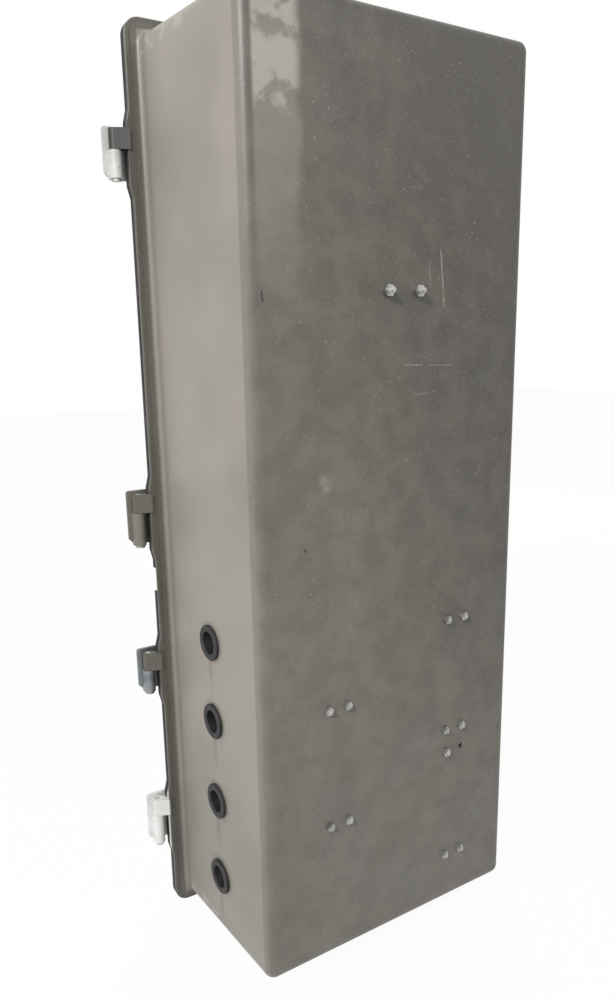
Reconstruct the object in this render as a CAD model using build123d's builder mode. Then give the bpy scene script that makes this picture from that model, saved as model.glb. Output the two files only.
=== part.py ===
"""Wall or pole mounted electrical distribution box: a moulded tub with two hinged doors.

Millimetres, X to the right seen from the front, Y to the rear, Z up. The origin is midway
between the two hanging studs, on the outer faces of their nuts, where a bracket bears.
Heights are given above the lower edge of the back panel, depths behind the flange's front.
"""

import os
from math import atan2, cos, degrees, radians, sin

from build123d import *

os.makedirs("parts", exist_ok=True)

# Moulded tub
body_height = 900.0  # back panel, outside
body_width = 310.0  # back panel, outside
body_depth = 190.0  # front of the flange to the outside of the back panel
wall_thickness = 4.0
wall_flare = 12.5  # how much each wall spreads from the back panel to the flange
corner_radius = 11.0  # outside, between neighbouring walls and between them and the back panel

# Flange around the tub's mouth
flange_overhang = 26.0  # beyond the back panel's outline, all round
flange_corner_radius = 16.0
flange_thickness = 5.0
lip_width = 5.0  # thinner strip along the flange's outer edge
lip_thickness = 3.0
root_radius = 6.0  # between the flange and the walls
lip_edge_radius = 1.2

# Divider between the two compartments: a bar across the mouth with a partition behind it
partition_thickness = 4.0
bar_height = 64.0
wire_way_width = 120.0
wire_way_depth = 50.0
wire_way_corner = 6.0
wire_way_back_gap = 16.0  # from the wire way to the inside of the back panel

# Door gaskets
gasket_thickness = 8.0
gasket_inner_gap = 2.0  # from the gasket to the edge of the tub's mouth
gasket_split = 27.0  # bare strip on the bar between the two gaskets
gasket_strip = 16.0  # gasket width on the bar
gasket_window_radius = 8.0

# Doors
door_inset = 5.0  # from the flange's edge to the door's edge
door_corner_radius = 12.0
door_thickness = 4.0
door_rim = 24.0  # flat rim around the raised panel
door_rise = 14.0
door_rise_draft = 20.0  # degrees
door_panel_radius = 16.0
door_edge_radius = 6.0
door_rib_thickness = 3.0
door_rib_depth = 8.0
door_rib_spacing = 110.0
door_split_margin = 2.0  # from the gasket's edge on the bar to the door's edge
seating_gap = 0.3  # between surfaces of bodies that move apart

# Hinges: an ear moulded on the flange, a leaf on the door, and a riveted pin
hinge_offset = 13.0  # pin's axis beyond the flange's edge
hinge_setback = 6.0  # pin's axis in front of the flange's front face
ear_radius = 5.5
ear_height = 19.5
pad_reach = 3.0  # how far the flange widens at a hinge
pad_margin = 6.0
pad_slope = 12.0
ear_root = 2.0  # where the ear joins the flange
pin_radius = 3.0
pin_head_radius = 4.8
pin_head_height = 2.0
pin_clearance = 0.08
leaf_thickness = 3.0
leaf_overreach = 3.0  # leaf above the ear
leaf_nose = 10.0  # leaf beyond the pin's axis
leaf_foot = 17.0  # leaf on the door's rim
leaf_bevel = 6.0
short_knuckle = 26.0
long_knuckle = 36.0
top_ear_drop = 92.5  # ear's lower face below the back panel's upper edge
middle_ear_rise = 76.5  # above the partition, on the upper door
middle_ear_drop = 101.5  # below the partition, on the lower door
foot_ear_height = 92.5

# Quarter-turn locks and their keepers
lock_offset = 126.0  # from the box's middle, on the side away from the hinges
top_lock_drop = 100.0  # below the back panel's upper edge
middle_lock_rise = 147.0  # above the partition
foot_lock_height = 165.0
lock_rose_radius = 14.0
lock_rose_height = 3.0
lock_rose_edge_radius = 1.0
lock_barrel_radius = 10.0
lock_barrel_length = 20.0
lock_hole_clearance = 0.3
lock_nut_width = 27.0
lock_nut_height = 5.0
core_radius = 6.0
core_collar_radius = 7.5
core_collar_height = 2.0
spindle_radius = 5.0
core_square = 7.0
core_clearance = 0.08
core_head_radius = 5.5
core_head_height = 1.5
key_side = 8.0
key_depth = 6.0
cam_depth = 7.0  # front of the cam behind the flange's front face
cam_thickness = 2.5
cam_width = 16.0
cam_reach = 30.0  # from the lock's axis to the cam's tip
keeper_height = 40.0
keeper_thickness = 2.0
keeper_lip = 14.0
keeper_gap = 1.0  # between the keeper's lip and the cam
keeper_depth = 22.0
rivet_radius = 2.4
rivet_head_radius = 4.5
rivet_head_height = 1.5
rivet_spacing = 24.0
rivet_clearance = 0.1

# Cable holes and grommets in the side wall
cable_hole_heights = (63.5, 153.5, 244.5, 330.0)
cable_hole_depth = 95.0
cable_hole_radius = 15.0
grommet_flange_radius = 18.0
grommet_inner_radius = 16.0  # flange on the inside of the wall
grommet_flange_height = 3.5
grommet_bore_radius = 11.5
grommet_edge_radius = 1.4
grommet_clearance = 0.1

# Hanging studs and busbar bolts, M6 with rolled threads
stud_rise = 31.0  # above the middle of the upper compartment
stud_spacing = 35.0
stud_offset = 3.5  # box's middle from the studs' middle
stud_radius = 3.0
stud_shank_radius = 2.67
stud_reach = 6.0  # beyond the nut
stud_head_height = 4.0
stud_nut_width = 10.0
stud_nut_height = 5.0
thread_clearance = 0.1
hole_clearance = 0.5
tip_chamfer = 0.6

# Mounting plate and busbars in the upper compartment
spacer_length = 20.0
spacer_radius = 8.0
plate_width = 180.0
plate_height = 300.0
plate_thickness = 2.0
plate_return = 14.0
support_spacing = 190.0
support_width = 160.0
support_height = 22.0
support_depth = 36.0
busbar_count = 4
busbar_pitch = 40.0
busbar_width = 25.0
busbar_thickness = 5.0
busbar_length = 290.0
busbar_clearance = 0.2
busbar_bolt_margin = 14.0  # from a bar's end to its bolt
busbar_bolt_reach = 2.0  # beyond the nut
busbar_screw_bite = 11.0  # in the support
busbar_bevel = 2.0
support_corner = 2.0
support_notch_width = 11.0
support_notch_depth = 12.0

# Circuit breakers on the back panel of the lower compartment
breakers = {
    "incoming_breaker": (72.0, 213.0),
    "outgoing_breaker_upper": (-75.0, 275.0),
    "outgoing_breaker_lower": (-77.0, 123.0),
}
lost_screw = ("outgoing_breaker_lower", -1, 1)  # its hole is empty
breaker_headroom = 24.0  # from the upper breaker to the partition
pole_pitch = 22.0
breaker_width = 70.0
breaker_height = 144.0
breaker_depth = 60.0
breaker_corner = 2.0
cover_height = 84.0
cover_rise = 6.0
bezel_width = 30.0
bezel_height = 46.0
bezel_rise = 3.0
terminal_width = 14.0
terminal_height = 20.0
terminal_depth = 24.0
terminal_screw_radius = 4.5
terminal_screw_height = 4.0
terminal_shank_radius = 2.5
terminal_shank_length = 8.0
breaker_screw_spacing_x = 22.0
breaker_screw_spacing_z = 125.0
breaker_foot = 14.0  # plastic under a fixing screw's head
toggle_radius = 13.0
toggle_width = 16.0
toggle_gap = 0.5
toggle_sink = 10.0  # toggle's axis behind the bezel's face
toggle_lean = 20.0  # degrees below level when it is off
toggle_length = 29.0
toggle_blade_width = 12.0
toggle_blade_height = 9.0
toggle_corner = 2.0
toggle_draft = 2.0  # degrees
toggle_edge_radius = 1.2
trunnion_radius = 2.5
trunnion_length = 24.0

# Fixing screws of the breakers, the supports and the busbars, M5
fixing_radius = 2.5
fixing_shank_radius = 2.2
fixing_head_radius = 4.25
fixing_head_height = 3.5
fixing_reach = 3.0  # beyond the nut
fixing_nut_width = 8.0
fixing_nut_height = 4.0

# Leaf screws, M5
leaf_screw_radius = 2.5
leaf_screw_head_radius = 4.5
leaf_screw_head_height = 2.5
leaf_screw_bite = 3.0  # in the door's rim

# Heights worked out from the sizes
partition_height = (  # middle of the partition
    breakers["outgoing_breaker_upper"][1]
    + breaker_height / 2
    + breaker_headroom
    + partition_thickness / 2
)
stud_height = (partition_height + body_height) / 2 + stud_rise
upper_hinges = {  # ear's lower face, and the knuckle's length
    "top": (body_height - top_ear_drop, short_knuckle),
    "bottom": (partition_height + middle_ear_rise, long_knuckle),
}
lower_hinges = {
    "top": (partition_height - middle_ear_drop, short_knuckle),
    "bottom": (foot_ear_height, long_knuckle),
}
upper_lock_heights = (body_height - top_lock_drop, partition_height + middle_lock_rise)
lower_lock_heights = (foot_lock_height,)

# Places worked out from the sizes
back_y = -stud_nut_height
front_y = back_y - body_depth
bottom_z = -stud_height
middle_x = stud_offset
inside_back_y = back_y - wall_thickness
wall_draft = degrees(atan2(wall_flare, body_depth))
mouth_width = body_width + 2 * wall_flare
mouth_height = body_height + 2 * wall_flare
flange_width = body_width + 2 * flange_overhang
flange_height = body_height + 2 * flange_overhang
flange_edge = flange_width / 2
hinge_x = middle_x + flange_edge + hinge_offset
hinge_y = front_y - hinge_setback
door_back_y = front_y - gasket_thickness - seating_gap
door_front_y = door_back_y - door_thickness
panel_front_y = door_front_y - door_rise
leaf_front_y = door_front_y - leaf_thickness
door_width = flange_width - 2 * door_inset
upper_door_span = (
    partition_height + gasket_split / 2 + door_split_margin,
    body_height + flange_overhang - door_inset,
)
lower_door_span = (
    door_inset - flange_overhang,
    partition_height - gasket_split / 2 - door_split_margin,
)


def facing_front(x, y, height=0.0):
    """A plane that faces the front at this height, with its X to the right and its Y up."""
    return Plane(origin=(x, y, bottom_z + height), x_dir=(1, 0, 0), z_dir=(0, -1, 0))


def facing_side(depth, height, side=1):
    """A plane on the outside of a side wall, facing outwards, square to the drafted wall."""
    x = middle_x + side * (mouth_width / 2 - wall_flare * depth / body_depth)
    outwards = (side * cos(radians(wall_draft)), sin(radians(wall_draft)), 0)
    return Plane(
        origin=(x, front_y + depth, bottom_z + height), x_dir=(0, 0, 1), z_dir=outwards
    )


def level(height):
    """A level plane at this height."""
    return Plane.XY.offset(bottom_z + height)


def hinge_pads(hinges):
    """Outlines of the places where the flange widens to carry the hinges' ears."""
    for meeting, knuckle in hinges.values():
        low = meeting - knuckle - pad_margin
        high = meeting + ear_height + pad_margin
        Polygon(
            (flange_edge, low - pad_slope),
            (flange_edge + pad_reach, low),
            (flange_edge + pad_reach, high),
            (flange_edge, high + pad_slope),
            align=None,
        )


def screw_places(name):
    """Sideways and upward offsets of a breaker's fixing holes, and whether each has its screw."""
    for side in (-1, 1):
        for end in (-1, 1):
            offset = (side * breaker_screw_spacing_x / 2, end * breaker_screw_spacing_z / 2)
            yield offset, (name, side, end) != lost_screw


all_hinges = [*upper_hinges.values(), *lower_hinges.values()]
all_locks = [*upper_lock_heights, *lower_lock_heights]
stud_sides = (-stud_spacing / 2, stud_spacing / 2)

# Inside of the tub
with BuildPart() as cavity:
    with BuildSketch(facing_front(middle_x, front_y, body_height / 2)):
        Rectangle(mouth_width - 2 * wall_thickness, mouth_height - 2 * wall_thickness)
    extrude(amount=-(body_depth - wall_thickness))
    walls = cavity.faces().filter_by(Axis.Y, reverse=True)
    draft(walls, facing_front(middle_x, front_y), -wall_draft)
    corners, rear_edges = cavity.edges().group_by(Axis.Y)[1:]
    fillet(corners + rear_edges, radius=corner_radius - wall_thickness)

# Tub, moulded in one with its flange and hinge ears
with BuildPart() as tub:
    with BuildSketch(facing_front(middle_x, front_y, body_height / 2)):
        Rectangle(mouth_width, mouth_height)
    extrude(amount=-body_depth)
    walls = tub.faces().filter_by(Axis.Y, reverse=True)
    draft(walls, facing_front(middle_x, front_y), -wall_draft)
    corners, rear_edges = tub.edges().group_by(Axis.Y)[1:]
    fillet(corners + rear_edges, radius=corner_radius)
    with BuildSketch(facing_front(middle_x, front_y, body_height / 2)):
        RectangleRounded(
            flange_width - 2 * lip_width,
            flange_height - 2 * lip_width,
            flange_corner_radius - lip_width,
        )
    extrude(amount=-flange_thickness)
    root_edges = (
        tub.edges()
        .filter_by_position(Axis.Y, front_y + flange_thickness, front_y + flange_thickness)
        .filter_by(lambda edge: abs(edge.center().X - middle_x) < mouth_width / 2)
        .filter_by(
            lambda edge: abs(edge.center().Z - bottom_z - body_height / 2) < mouth_height / 2
        )
    )
    fillet(root_edges, radius=root_radius)
    with BuildSketch(facing_front(middle_x, front_y)):
        with Locations((0, body_height / 2)):
            RectangleRounded(flange_width, flange_height, flange_corner_radius)
        hinge_pads(upper_hinges)
        hinge_pads(lower_hinges)
    extrude(amount=-lip_thickness)
    lip_edges = tub.edges().filter_by_position(
        Axis.Y, front_y + lip_thickness, front_y + lip_thickness
    )
    outer_edges = lip_edges.filter_by(
        lambda edge: abs(edge.center().X - middle_x) > flange_edge - lip_width / 2
        or abs(edge.center().Z - bottom_z - body_height / 2) > (flange_height - lip_width) / 2
    )
    fillet(outer_edges, radius=lip_edge_radius)
    add(cavity.part, mode=Mode.SUBTRACT)
    for meeting, knuckle in all_hinges:
        with BuildSketch(level(meeting)):
            with Locations((hinge_x, hinge_y)):
                Circle(ear_radius)
            root_x = middle_x + flange_edge + ear_root / 2
            with Locations((root_x, front_y + flange_thickness / 2)):
                Rectangle(ear_root, flange_thickness)
            make_hull()
        extrude(amount=ear_height)
        with BuildSketch(level(meeting)):
            with Locations((hinge_x, hinge_y)):
                Circle(pin_radius + pin_clearance)
        extrude(amount=ear_height, mode=Mode.SUBTRACT)
    for name, (x, height) in breakers.items():
        with BuildSketch(facing_front(middle_x + x, back_y, height)):
            with Locations([offset for offset, held in screw_places(name)]):
                Circle(fixing_radius + hole_clearance)
        extrude(amount=wall_thickness, mode=Mode.SUBTRACT)
    with BuildSketch(facing_front(0, back_y, stud_height)):
        with Locations([(x, 0) for x in stud_sides]):
            Circle(stud_radius + hole_clearance)
    extrude(amount=wall_thickness, mode=Mode.SUBTRACT)
    for height in cable_hole_heights:
        with BuildSketch(facing_side(cable_hole_depth, height)):
            Circle(cable_hole_radius)
        extrude(amount=-2 * wall_thickness, both=True, mode=Mode.SUBTRACT)
    for height in all_locks:
        with BuildSketch(facing_side(keeper_depth - rivet_head_radius, height, side=-1)):
            with Locations((-rivet_spacing / 2, 0), (rivet_spacing / 2, 0)):
                Circle(rivet_radius + rivet_clearance)
        extrude(amount=-2 * wall_thickness, both=True, mode=Mode.SUBTRACT)
tub.part.label = "tub"
export_step(tub.part, "parts/tub.step")

# Divider, bonded into the tub, with a way through for wires
wire_way_y = inside_back_y - wire_way_back_gap - wire_way_depth / 2
with BuildPart() as divider:
    with BuildSketch(Plane.YZ.offset(middle_x)):
        with Locations((front_y + flange_thickness / 2, bottom_z + partition_height)):
            Rectangle(flange_thickness, bar_height)
        with Locations((front_y + body_depth / 2, bottom_z + partition_height)):
            Rectangle(body_depth, partition_thickness)
    extrude(amount=mouth_width / 2, both=True)
    add(cavity.part, mode=Mode.INTERSECT)
    with BuildSketch(level(partition_height)):
        with Locations((middle_x, wire_way_y)):
            RectangleRounded(wire_way_width, wire_way_depth, wire_way_corner)
    extrude(amount=partition_thickness, both=True, mode=Mode.SUBTRACT)
divider.part.label = "divider"
export_step(divider.part, "parts/divider.step")

# Flat rubber gaskets on the front of the flange, one for each door
gasket_window_width = mouth_width - 2 * wall_thickness + 2 * gasket_inner_gap
gasket_window_top = body_height + wall_flare - wall_thickness + gasket_inner_gap
gasket_window_bottom = wall_thickness - wall_flare - gasket_inner_gap
upper_strip = partition_height + gasket_split / 2
lower_strip = partition_height - gasket_split / 2
gaskets = {
    "upper_gasket": (
        upper_hinges,
        (upper_strip, body_height + flange_overhang),
        (upper_strip + gasket_strip, gasket_window_top),
    ),
    "lower_gasket": (
        lower_hinges,
        (-flange_overhang, lower_strip),
        (gasket_window_bottom, lower_strip - gasket_strip),
    ),
}
for name, (hinges, (low, high), (window_low, window_high)) in gaskets.items():
    with BuildPart() as gasket:
        with BuildSketch(facing_front(middle_x, front_y)):
            with Locations((0, body_height / 2)):
                RectangleRounded(flange_width, flange_height, flange_corner_radius)
            hinge_pads(hinges)
            with Locations((0, (low + high) / 2)):
                Rectangle(flange_width + 4 * pad_reach, high - low, mode=Mode.INTERSECT)
            with Locations((0, (window_low + window_high) / 2)):
                RectangleRounded(
                    gasket_window_width,
                    window_high - window_low,
                    gasket_window_radius,
                    mode=Mode.SUBTRACT,
                )
            for meeting, knuckle in hinges.values():
                with Locations((flange_edge + pad_reach, meeting + ear_height / 2)):
                    Rectangle(
                        2 * (pad_reach + seating_gap),
                        ear_height + 2 * seating_gap,
                        mode=Mode.SUBTRACT,
                    )
        extrude(amount=gasket_thickness)
    gasket.part.label = name
    export_step(gasket.part, f"parts/{name}.step")

# Hinge pins, riveted over the ears, with a head under each knuckle
with BuildPart() as hinge_pins:
    for meeting, knuckle in all_hinges:
        foot = meeting - knuckle - seating_gap
        with BuildSketch(level(foot)):
            with Locations((hinge_x, hinge_y)):
                Circle(pin_radius)
        extrude(amount=knuckle + seating_gap + ear_height)
        with BuildSketch(level(foot)):
            with Locations((hinge_x, hinge_y)):
                Circle(pin_head_radius)
        extrude(amount=-pin_head_height)
hinge_pins.part.label = "hinge_pins"
export_step(hinge_pins.part, "parts/hinge_pins.step")

# Rubber grommets in the cable holes
for number, height in enumerate(cable_hole_heights, start=1):
    outside = facing_side(cable_hole_depth, height)
    with BuildPart() as grommet:
        with BuildSketch(outside):
            Circle(grommet_flange_radius)
        extrude(amount=grommet_flange_height)
        with BuildSketch(outside):
            Circle(cable_hole_radius - grommet_clearance)
        extrude(amount=-wall_thickness)
        with BuildSketch(outside.offset(-wall_thickness)):
            Circle(grommet_inner_radius)
        extrude(amount=-grommet_flange_height)
        with BuildSketch(outside.offset(grommet_flange_height)):
            Circle(grommet_bore_radius)
        extrude(amount=-(wall_thickness + 2 * grommet_flange_height), mode=Mode.SUBTRACT)
        outwards = Axis(outside.origin, outside.z_dir)
        ends = grommet.faces().filter_by(outwards).sort_by(outwards)
        fillet(ends[-1].edges() + ends[0].edges(), radius=grommet_edge_radius)
    grommet.part.label = f"cable_grommet_{number}"
    export_step(grommet.part, f"parts/cable_grommet_{number}.step")

# Keepers that the cams turn behind, riveted to the side wall
keeper_lip_depth = cam_depth - keeper_gap - keeper_thickness
for number, height in enumerate(all_locks, start=1):
    wall_face = facing_side(keeper_lip_depth, height, side=-1).offset(-wall_thickness)
    with BuildPart() as keeper:
        with BuildSketch(wall_face):
            with Locations((0, (keeper_depth - keeper_lip_depth) / 2)):
                Rectangle(keeper_height, keeper_depth - keeper_lip_depth)
        extrude(amount=-keeper_thickness)
        with BuildSketch(wall_face):
            with Locations((0, keeper_thickness / 2)):
                Rectangle(keeper_height, keeper_thickness)
        extrude(amount=-keeper_lip)
        hole_plane = facing_side(keeper_depth - rivet_head_radius, height, side=-1)
        with BuildSketch(hole_plane):
            with Locations((-rivet_spacing / 2, 0), (rivet_spacing / 2, 0)):
                Circle(rivet_radius + rivet_clearance)
        extrude(amount=-2 * wall_thickness, mode=Mode.SUBTRACT)
    keeper.part.label = f"lock_keeper_{number}"
    export_step(keeper.part, f"parts/lock_keeper_{number}.step")

with BuildPart() as keeper_rivets:
    for height in all_locks:
        outside = facing_side(keeper_depth - rivet_head_radius, height, side=-1)
        with BuildSketch(outside):
            with Locations((-rivet_spacing / 2, 0), (rivet_spacing / 2, 0)):
                Circle(rivet_head_radius)
        extrude(amount=rivet_head_height)
        with BuildSketch(outside):
            with Locations((-rivet_spacing / 2, 0), (rivet_spacing / 2, 0)):
                Circle(rivet_radius)
        extrude(amount=-(wall_thickness + keeper_thickness))
        with BuildSketch(outside.offset(-(wall_thickness + keeper_thickness))):
            with Locations((-rivet_spacing / 2, 0), (rivet_spacing / 2, 0)):
                Circle(rivet_head_radius)
        extrude(amount=-rivet_head_height)
keeper_rivets.part.label = "keeper_rivets"
export_step(keeper_rivets.part, "parts/keeper_rivets.step")

# Hanging studs: hexagon bolts from inside, through the plate, the spacers and the back panel
plate_back_y = inside_back_y - spacer_length
plate_front_y = plate_back_y - plate_thickness
with BuildPart() as hanging_studs:
    with BuildSketch(facing_front(0, plate_front_y, stud_height)):
        with Locations([(x, 0) for x in stud_sides]):
            RegularPolygon(stud_nut_width / 2, 6, major_radius=False)
    extrude(amount=stud_head_height)
    with BuildSketch(facing_front(0, plate_front_y, stud_height)):
        with Locations([(x, 0) for x in stud_sides]):
            Circle(stud_shank_radius)
    extrude(amount=plate_front_y)
    with BuildSketch(facing_front(0, 0, stud_height)):
        with Locations([(x, 0) for x in stud_sides]):
            Circle(stud_radius)
    extrude(amount=-stud_reach)
    tips = hanging_studs.faces().filter_by(Plane.XZ).group_by(Axis.Y)[-1].edges()
    chamfer(tips, length=tip_chamfer)
hanging_studs.part.label = "hanging_studs"
export_step(hanging_studs.part, "parts/hanging_studs.step")

with BuildPart() as hanging_nuts:
    with BuildSketch(facing_front(0, 0, stud_height)):
        with Locations([(x, 0) for x in stud_sides]):
            RegularPolygon(stud_nut_width / 2, 6, major_radius=False)
            Circle(stud_shank_radius + thread_clearance, mode=Mode.SUBTRACT)
    extrude(amount=stud_nut_height)
hanging_nuts.part.label = "hanging_nuts"
export_step(hanging_nuts.part, "parts/hanging_nuts.step")

with BuildPart() as plate_spacers:
    with BuildSketch(facing_front(0, inside_back_y, stud_height)):
        with Locations([(x, 0) for x in stud_sides]):
            Circle(spacer_radius)
            Circle(stud_radius + hole_clearance, mode=Mode.SUBTRACT)
    extrude(amount=spacer_length)
plate_spacers.part.label = "plate_spacers"
export_step(plate_spacers.part, "parts/plate_spacers.step")

# Folded steel plate that carries the busbar supports
bar_places = [(i - (busbar_count - 1) / 2) * busbar_pitch for i in range(busbar_count)]
support_screw_places = [-busbar_pitch, busbar_pitch]
support_rows = [-support_spacing / 2, support_spacing / 2]
with BuildPart() as mounting_plate:
    with BuildSketch(level(stud_height - plate_height / 2)):
        with Locations((0, plate_back_y - plate_return / 2)):
            Rectangle(plate_width, plate_return)
        with Locations((0, plate_front_y - plate_return / 2)):
            Rectangle(plate_width - 2 * plate_thickness, plate_return, mode=Mode.SUBTRACT)
    extrude(amount=plate_height)
    with BuildSketch(facing_front(0, plate_back_y, stud_height)):
        with Locations([(x, 0) for x in stud_sides]):
            Circle(stud_radius + hole_clearance)
        with Locations([(x, z) for x in support_screw_places for z in support_rows]):
            Circle(fixing_radius + hole_clearance)
    extrude(amount=plate_thickness, mode=Mode.SUBTRACT)
    folds = mounting_plate.edges().filter_by(Axis.Z).group_by(Axis.Y)[-1]
    fillet(folds, radius=plate_thickness)
mounting_plate.part.label = "mounting_plate"
export_step(mounting_plate.part, "parts/mounting_plate.step")

# Moulded supports with a seat for each busbar
support_front_y = plate_front_y - support_depth
bar_seat_y = support_front_y + busbar_thickness
for name, row in zip(("busbar_support_lower", "busbar_support_upper"), support_rows):
    height = stud_height + row
    with BuildPart() as support:
        with BuildSketch(facing_front(0, plate_front_y, height)):
            RectangleRounded(support_width, support_height, support_corner)
        extrude(amount=support_depth)
        with BuildSketch(facing_front(0, support_front_y, height)):
            with Locations([(x, 0) for x in bar_places]):
                Rectangle(busbar_width + 2 * busbar_clearance, support_height)
        extrude(amount=-busbar_thickness, mode=Mode.SUBTRACT)
        with BuildSketch(facing_front(0, support_front_y, height)):
            with Locations([(x, 0) for x in support_screw_places]):
                Circle(fixing_head_radius + hole_clearance)
            with Locations((0, 0)):
                Rectangle(support_notch_width, support_height)
        extrude(amount=-support_notch_depth, mode=Mode.SUBTRACT)
        with BuildSketch(facing_front(0, support_front_y, height)):
            with Locations([(x, 0) for x in support_screw_places]):
                Circle(fixing_radius + hole_clearance)
        extrude(amount=-support_depth, mode=Mode.SUBTRACT)
        with BuildSketch(facing_front(0, bar_seat_y, height)):
            with Locations([(x, 0) for x in bar_places]):
                Circle(fixing_radius + thread_clearance)
        extrude(amount=-support_notch_depth, mode=Mode.SUBTRACT)
    support.part.label = name
    export_step(support.part, f"parts/{name}.step")

with BuildPart() as support_screws:
    for row in support_rows:
        seat_y = support_front_y + support_notch_depth
        with BuildSketch(facing_front(0, seat_y, stud_height + row)):
            with Locations([(x, 0) for x in support_screw_places]):
                Circle(fixing_head_radius)
        extrude(amount=fixing_head_height)
        with BuildSketch(facing_front(0, seat_y, stud_height + row)):
            with Locations([(x, 0) for x in support_screw_places]):
                Circle(fixing_radius)
        extrude(amount=-(plate_back_y - seat_y + fixing_reach))
support_screws.part.label = "support_screws"
export_step(support_screws.part, "parts/support_screws.step")

# Copper busbars, three phases and neutral
bar_bolt_rows = [
    -busbar_length / 2 + busbar_bolt_margin,
    busbar_length / 2 - busbar_bolt_margin,
]
bar_names = ("busbar_phase_1", "busbar_phase_2", "busbar_phase_3", "busbar_neutral")
for name, x in zip(bar_names, bar_places):
    with BuildPart() as busbar:
        with BuildSketch(facing_front(x, bar_seat_y, stud_height)):
            Rectangle(busbar_width, busbar_length)
            with Locations([(0, z) for z in bar_bolt_rows]):
                Circle(stud_radius + hole_clearance, mode=Mode.SUBTRACT)
            with Locations([(0, z) for z in support_rows]):
                Circle(fixing_radius + hole_clearance, mode=Mode.SUBTRACT)
        extrude(amount=busbar_thickness)
        chamfer(busbar.edges().filter_by(Axis.Y), length=busbar_bevel)
    busbar.part.label = name
    export_step(busbar.part, f"parts/{name}.step")

bar_screw_places = [(x, z) for x in bar_places for z in support_rows]
bar_bolt_places = [(x, z) for x in bar_places for z in bar_bolt_rows]
with BuildPart() as busbar_screws:
    with BuildSketch(facing_front(0, support_front_y, stud_height)):
        with Locations(bar_screw_places):
            Circle(fixing_head_radius)
    extrude(amount=fixing_head_height)
    with BuildSketch(facing_front(0, support_front_y, stud_height)):
        with Locations(bar_screw_places):
            Circle(fixing_radius)
    extrude(amount=-(busbar_thickness + busbar_screw_bite))
busbar_screws.part.label = "busbar_screws"
export_step(busbar_screws.part, "parts/busbar_screws.step")

with BuildPart() as busbar_bolts:
    with BuildSketch(facing_front(0, support_front_y, stud_height)):
        with Locations(bar_bolt_places):
            RegularPolygon(stud_nut_width / 2, 6, major_radius=False)
    extrude(amount=stud_head_height)
    with BuildSketch(facing_front(0, support_front_y, stud_height)):
        with Locations(bar_bolt_places):
            Circle(stud_shank_radius)
    extrude(amount=-(busbar_thickness + stud_nut_height + busbar_bolt_reach))
busbar_bolts.part.label = "busbar_bolts"
export_step(busbar_bolts.part, "parts/busbar_bolts.step")

with BuildPart() as busbar_nuts:
    with BuildSketch(facing_front(0, bar_seat_y, stud_height)):
        with Locations(bar_bolt_places):
            RegularPolygon(stud_nut_width / 2, 6, major_radius=False)
            Circle(stud_shank_radius + thread_clearance, mode=Mode.SUBTRACT)
    extrude(amount=-stud_nut_height)
busbar_nuts.part.label = "busbar_nuts"
export_step(busbar_nuts.part, "parts/busbar_nuts.step")

# Three-pole moulded case circuit breakers, each with its toggle
cover_front = breaker_depth + cover_rise
bezel_front = cover_front + bezel_rise
toggle_y = inside_back_y - bezel_front + toggle_sink
terminal_places = [
    (pole * pole_pitch, end * (breaker_height - terminal_height) / 2)
    for pole in (-1, 0, 1)
    for end in (-1, 1)
]
for name, (x, height) in breakers.items():
    seat = facing_front(middle_x + x, inside_back_y, height)
    with BuildPart() as breaker:
        with BuildSketch(seat):
            RectangleRounded(breaker_width, breaker_height, breaker_corner)
        extrude(amount=breaker_depth)
        with BuildSketch(seat.offset(breaker_depth)):
            RectangleRounded(breaker_width, cover_height, breaker_corner)
        extrude(amount=cover_rise)
        with BuildSketch(seat.offset(cover_front)):
            RectangleRounded(bezel_width, bezel_height, breaker_corner)
        extrude(amount=bezel_rise)
        with BuildSketch(seat.offset(breaker_depth)):
            with Locations(terminal_places):
                Rectangle(terminal_width, terminal_height)
        extrude(amount=-terminal_depth, mode=Mode.SUBTRACT)
        with BuildSketch(seat.offset(breaker_depth - terminal_depth)):
            with Locations(terminal_places):
                Circle(terminal_shank_radius + thread_clearance)
        extrude(amount=-terminal_shank_length, mode=Mode.SUBTRACT)
        with BuildSketch(seat.offset(breaker_foot)):
            with Locations([offset for offset, held in screw_places(name)]):
                Circle(fixing_head_radius + hole_clearance)
        extrude(amount=breaker_depth, mode=Mode.SUBTRACT)
        with BuildSketch(seat):
            with Locations([offset for offset, held in screw_places(name)]):
                Circle(fixing_radius + hole_clearance)
        extrude(amount=breaker_foot, mode=Mode.SUBTRACT)
        across = Plane(
            origin=(middle_x + x, toggle_y, bottom_z + height), x_dir=(0, 1, 0), z_dir=(1, 0, 0)
        )
        with BuildSketch(across):
            Circle(toggle_radius + toggle_gap)
        extrude(amount=toggle_width / 2 + toggle_gap, both=True, mode=Mode.SUBTRACT)
        with BuildSketch(across):
            Circle(trunnion_radius + pin_clearance)
        extrude(amount=trunnion_length / 2 + toggle_gap, both=True, mode=Mode.SUBTRACT)
    breaker.part.label = name
    export_step(breaker.part, f"parts/{name}.step")

    lean = radians(toggle_lean)
    blade = Plane(origin=across.origin, x_dir=(1, 0, 0), z_dir=(0, -cos(lean), -sin(lean)))
    with BuildPart() as toggle:
        with BuildSketch(across):
            Circle(toggle_radius)
        extrude(amount=toggle_width / 2, both=True)
        with BuildSketch(across):
            Circle(trunnion_radius)
        extrude(amount=trunnion_length / 2, both=True)
        with BuildSketch(blade):
            RectangleRounded(toggle_blade_width, toggle_blade_height, toggle_corner)
        extrude(amount=toggle_length, taper=toggle_draft)
        blade_end = toggle.faces().sort_by(lambda face: face.center().dot(blade.z_dir))[-1]
        fillet(blade_end.edges(), radius=toggle_edge_radius)
    toggle.part.label = f"{name}_toggle"
    export_step(toggle.part, f"parts/{name}_toggle.step")

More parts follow.
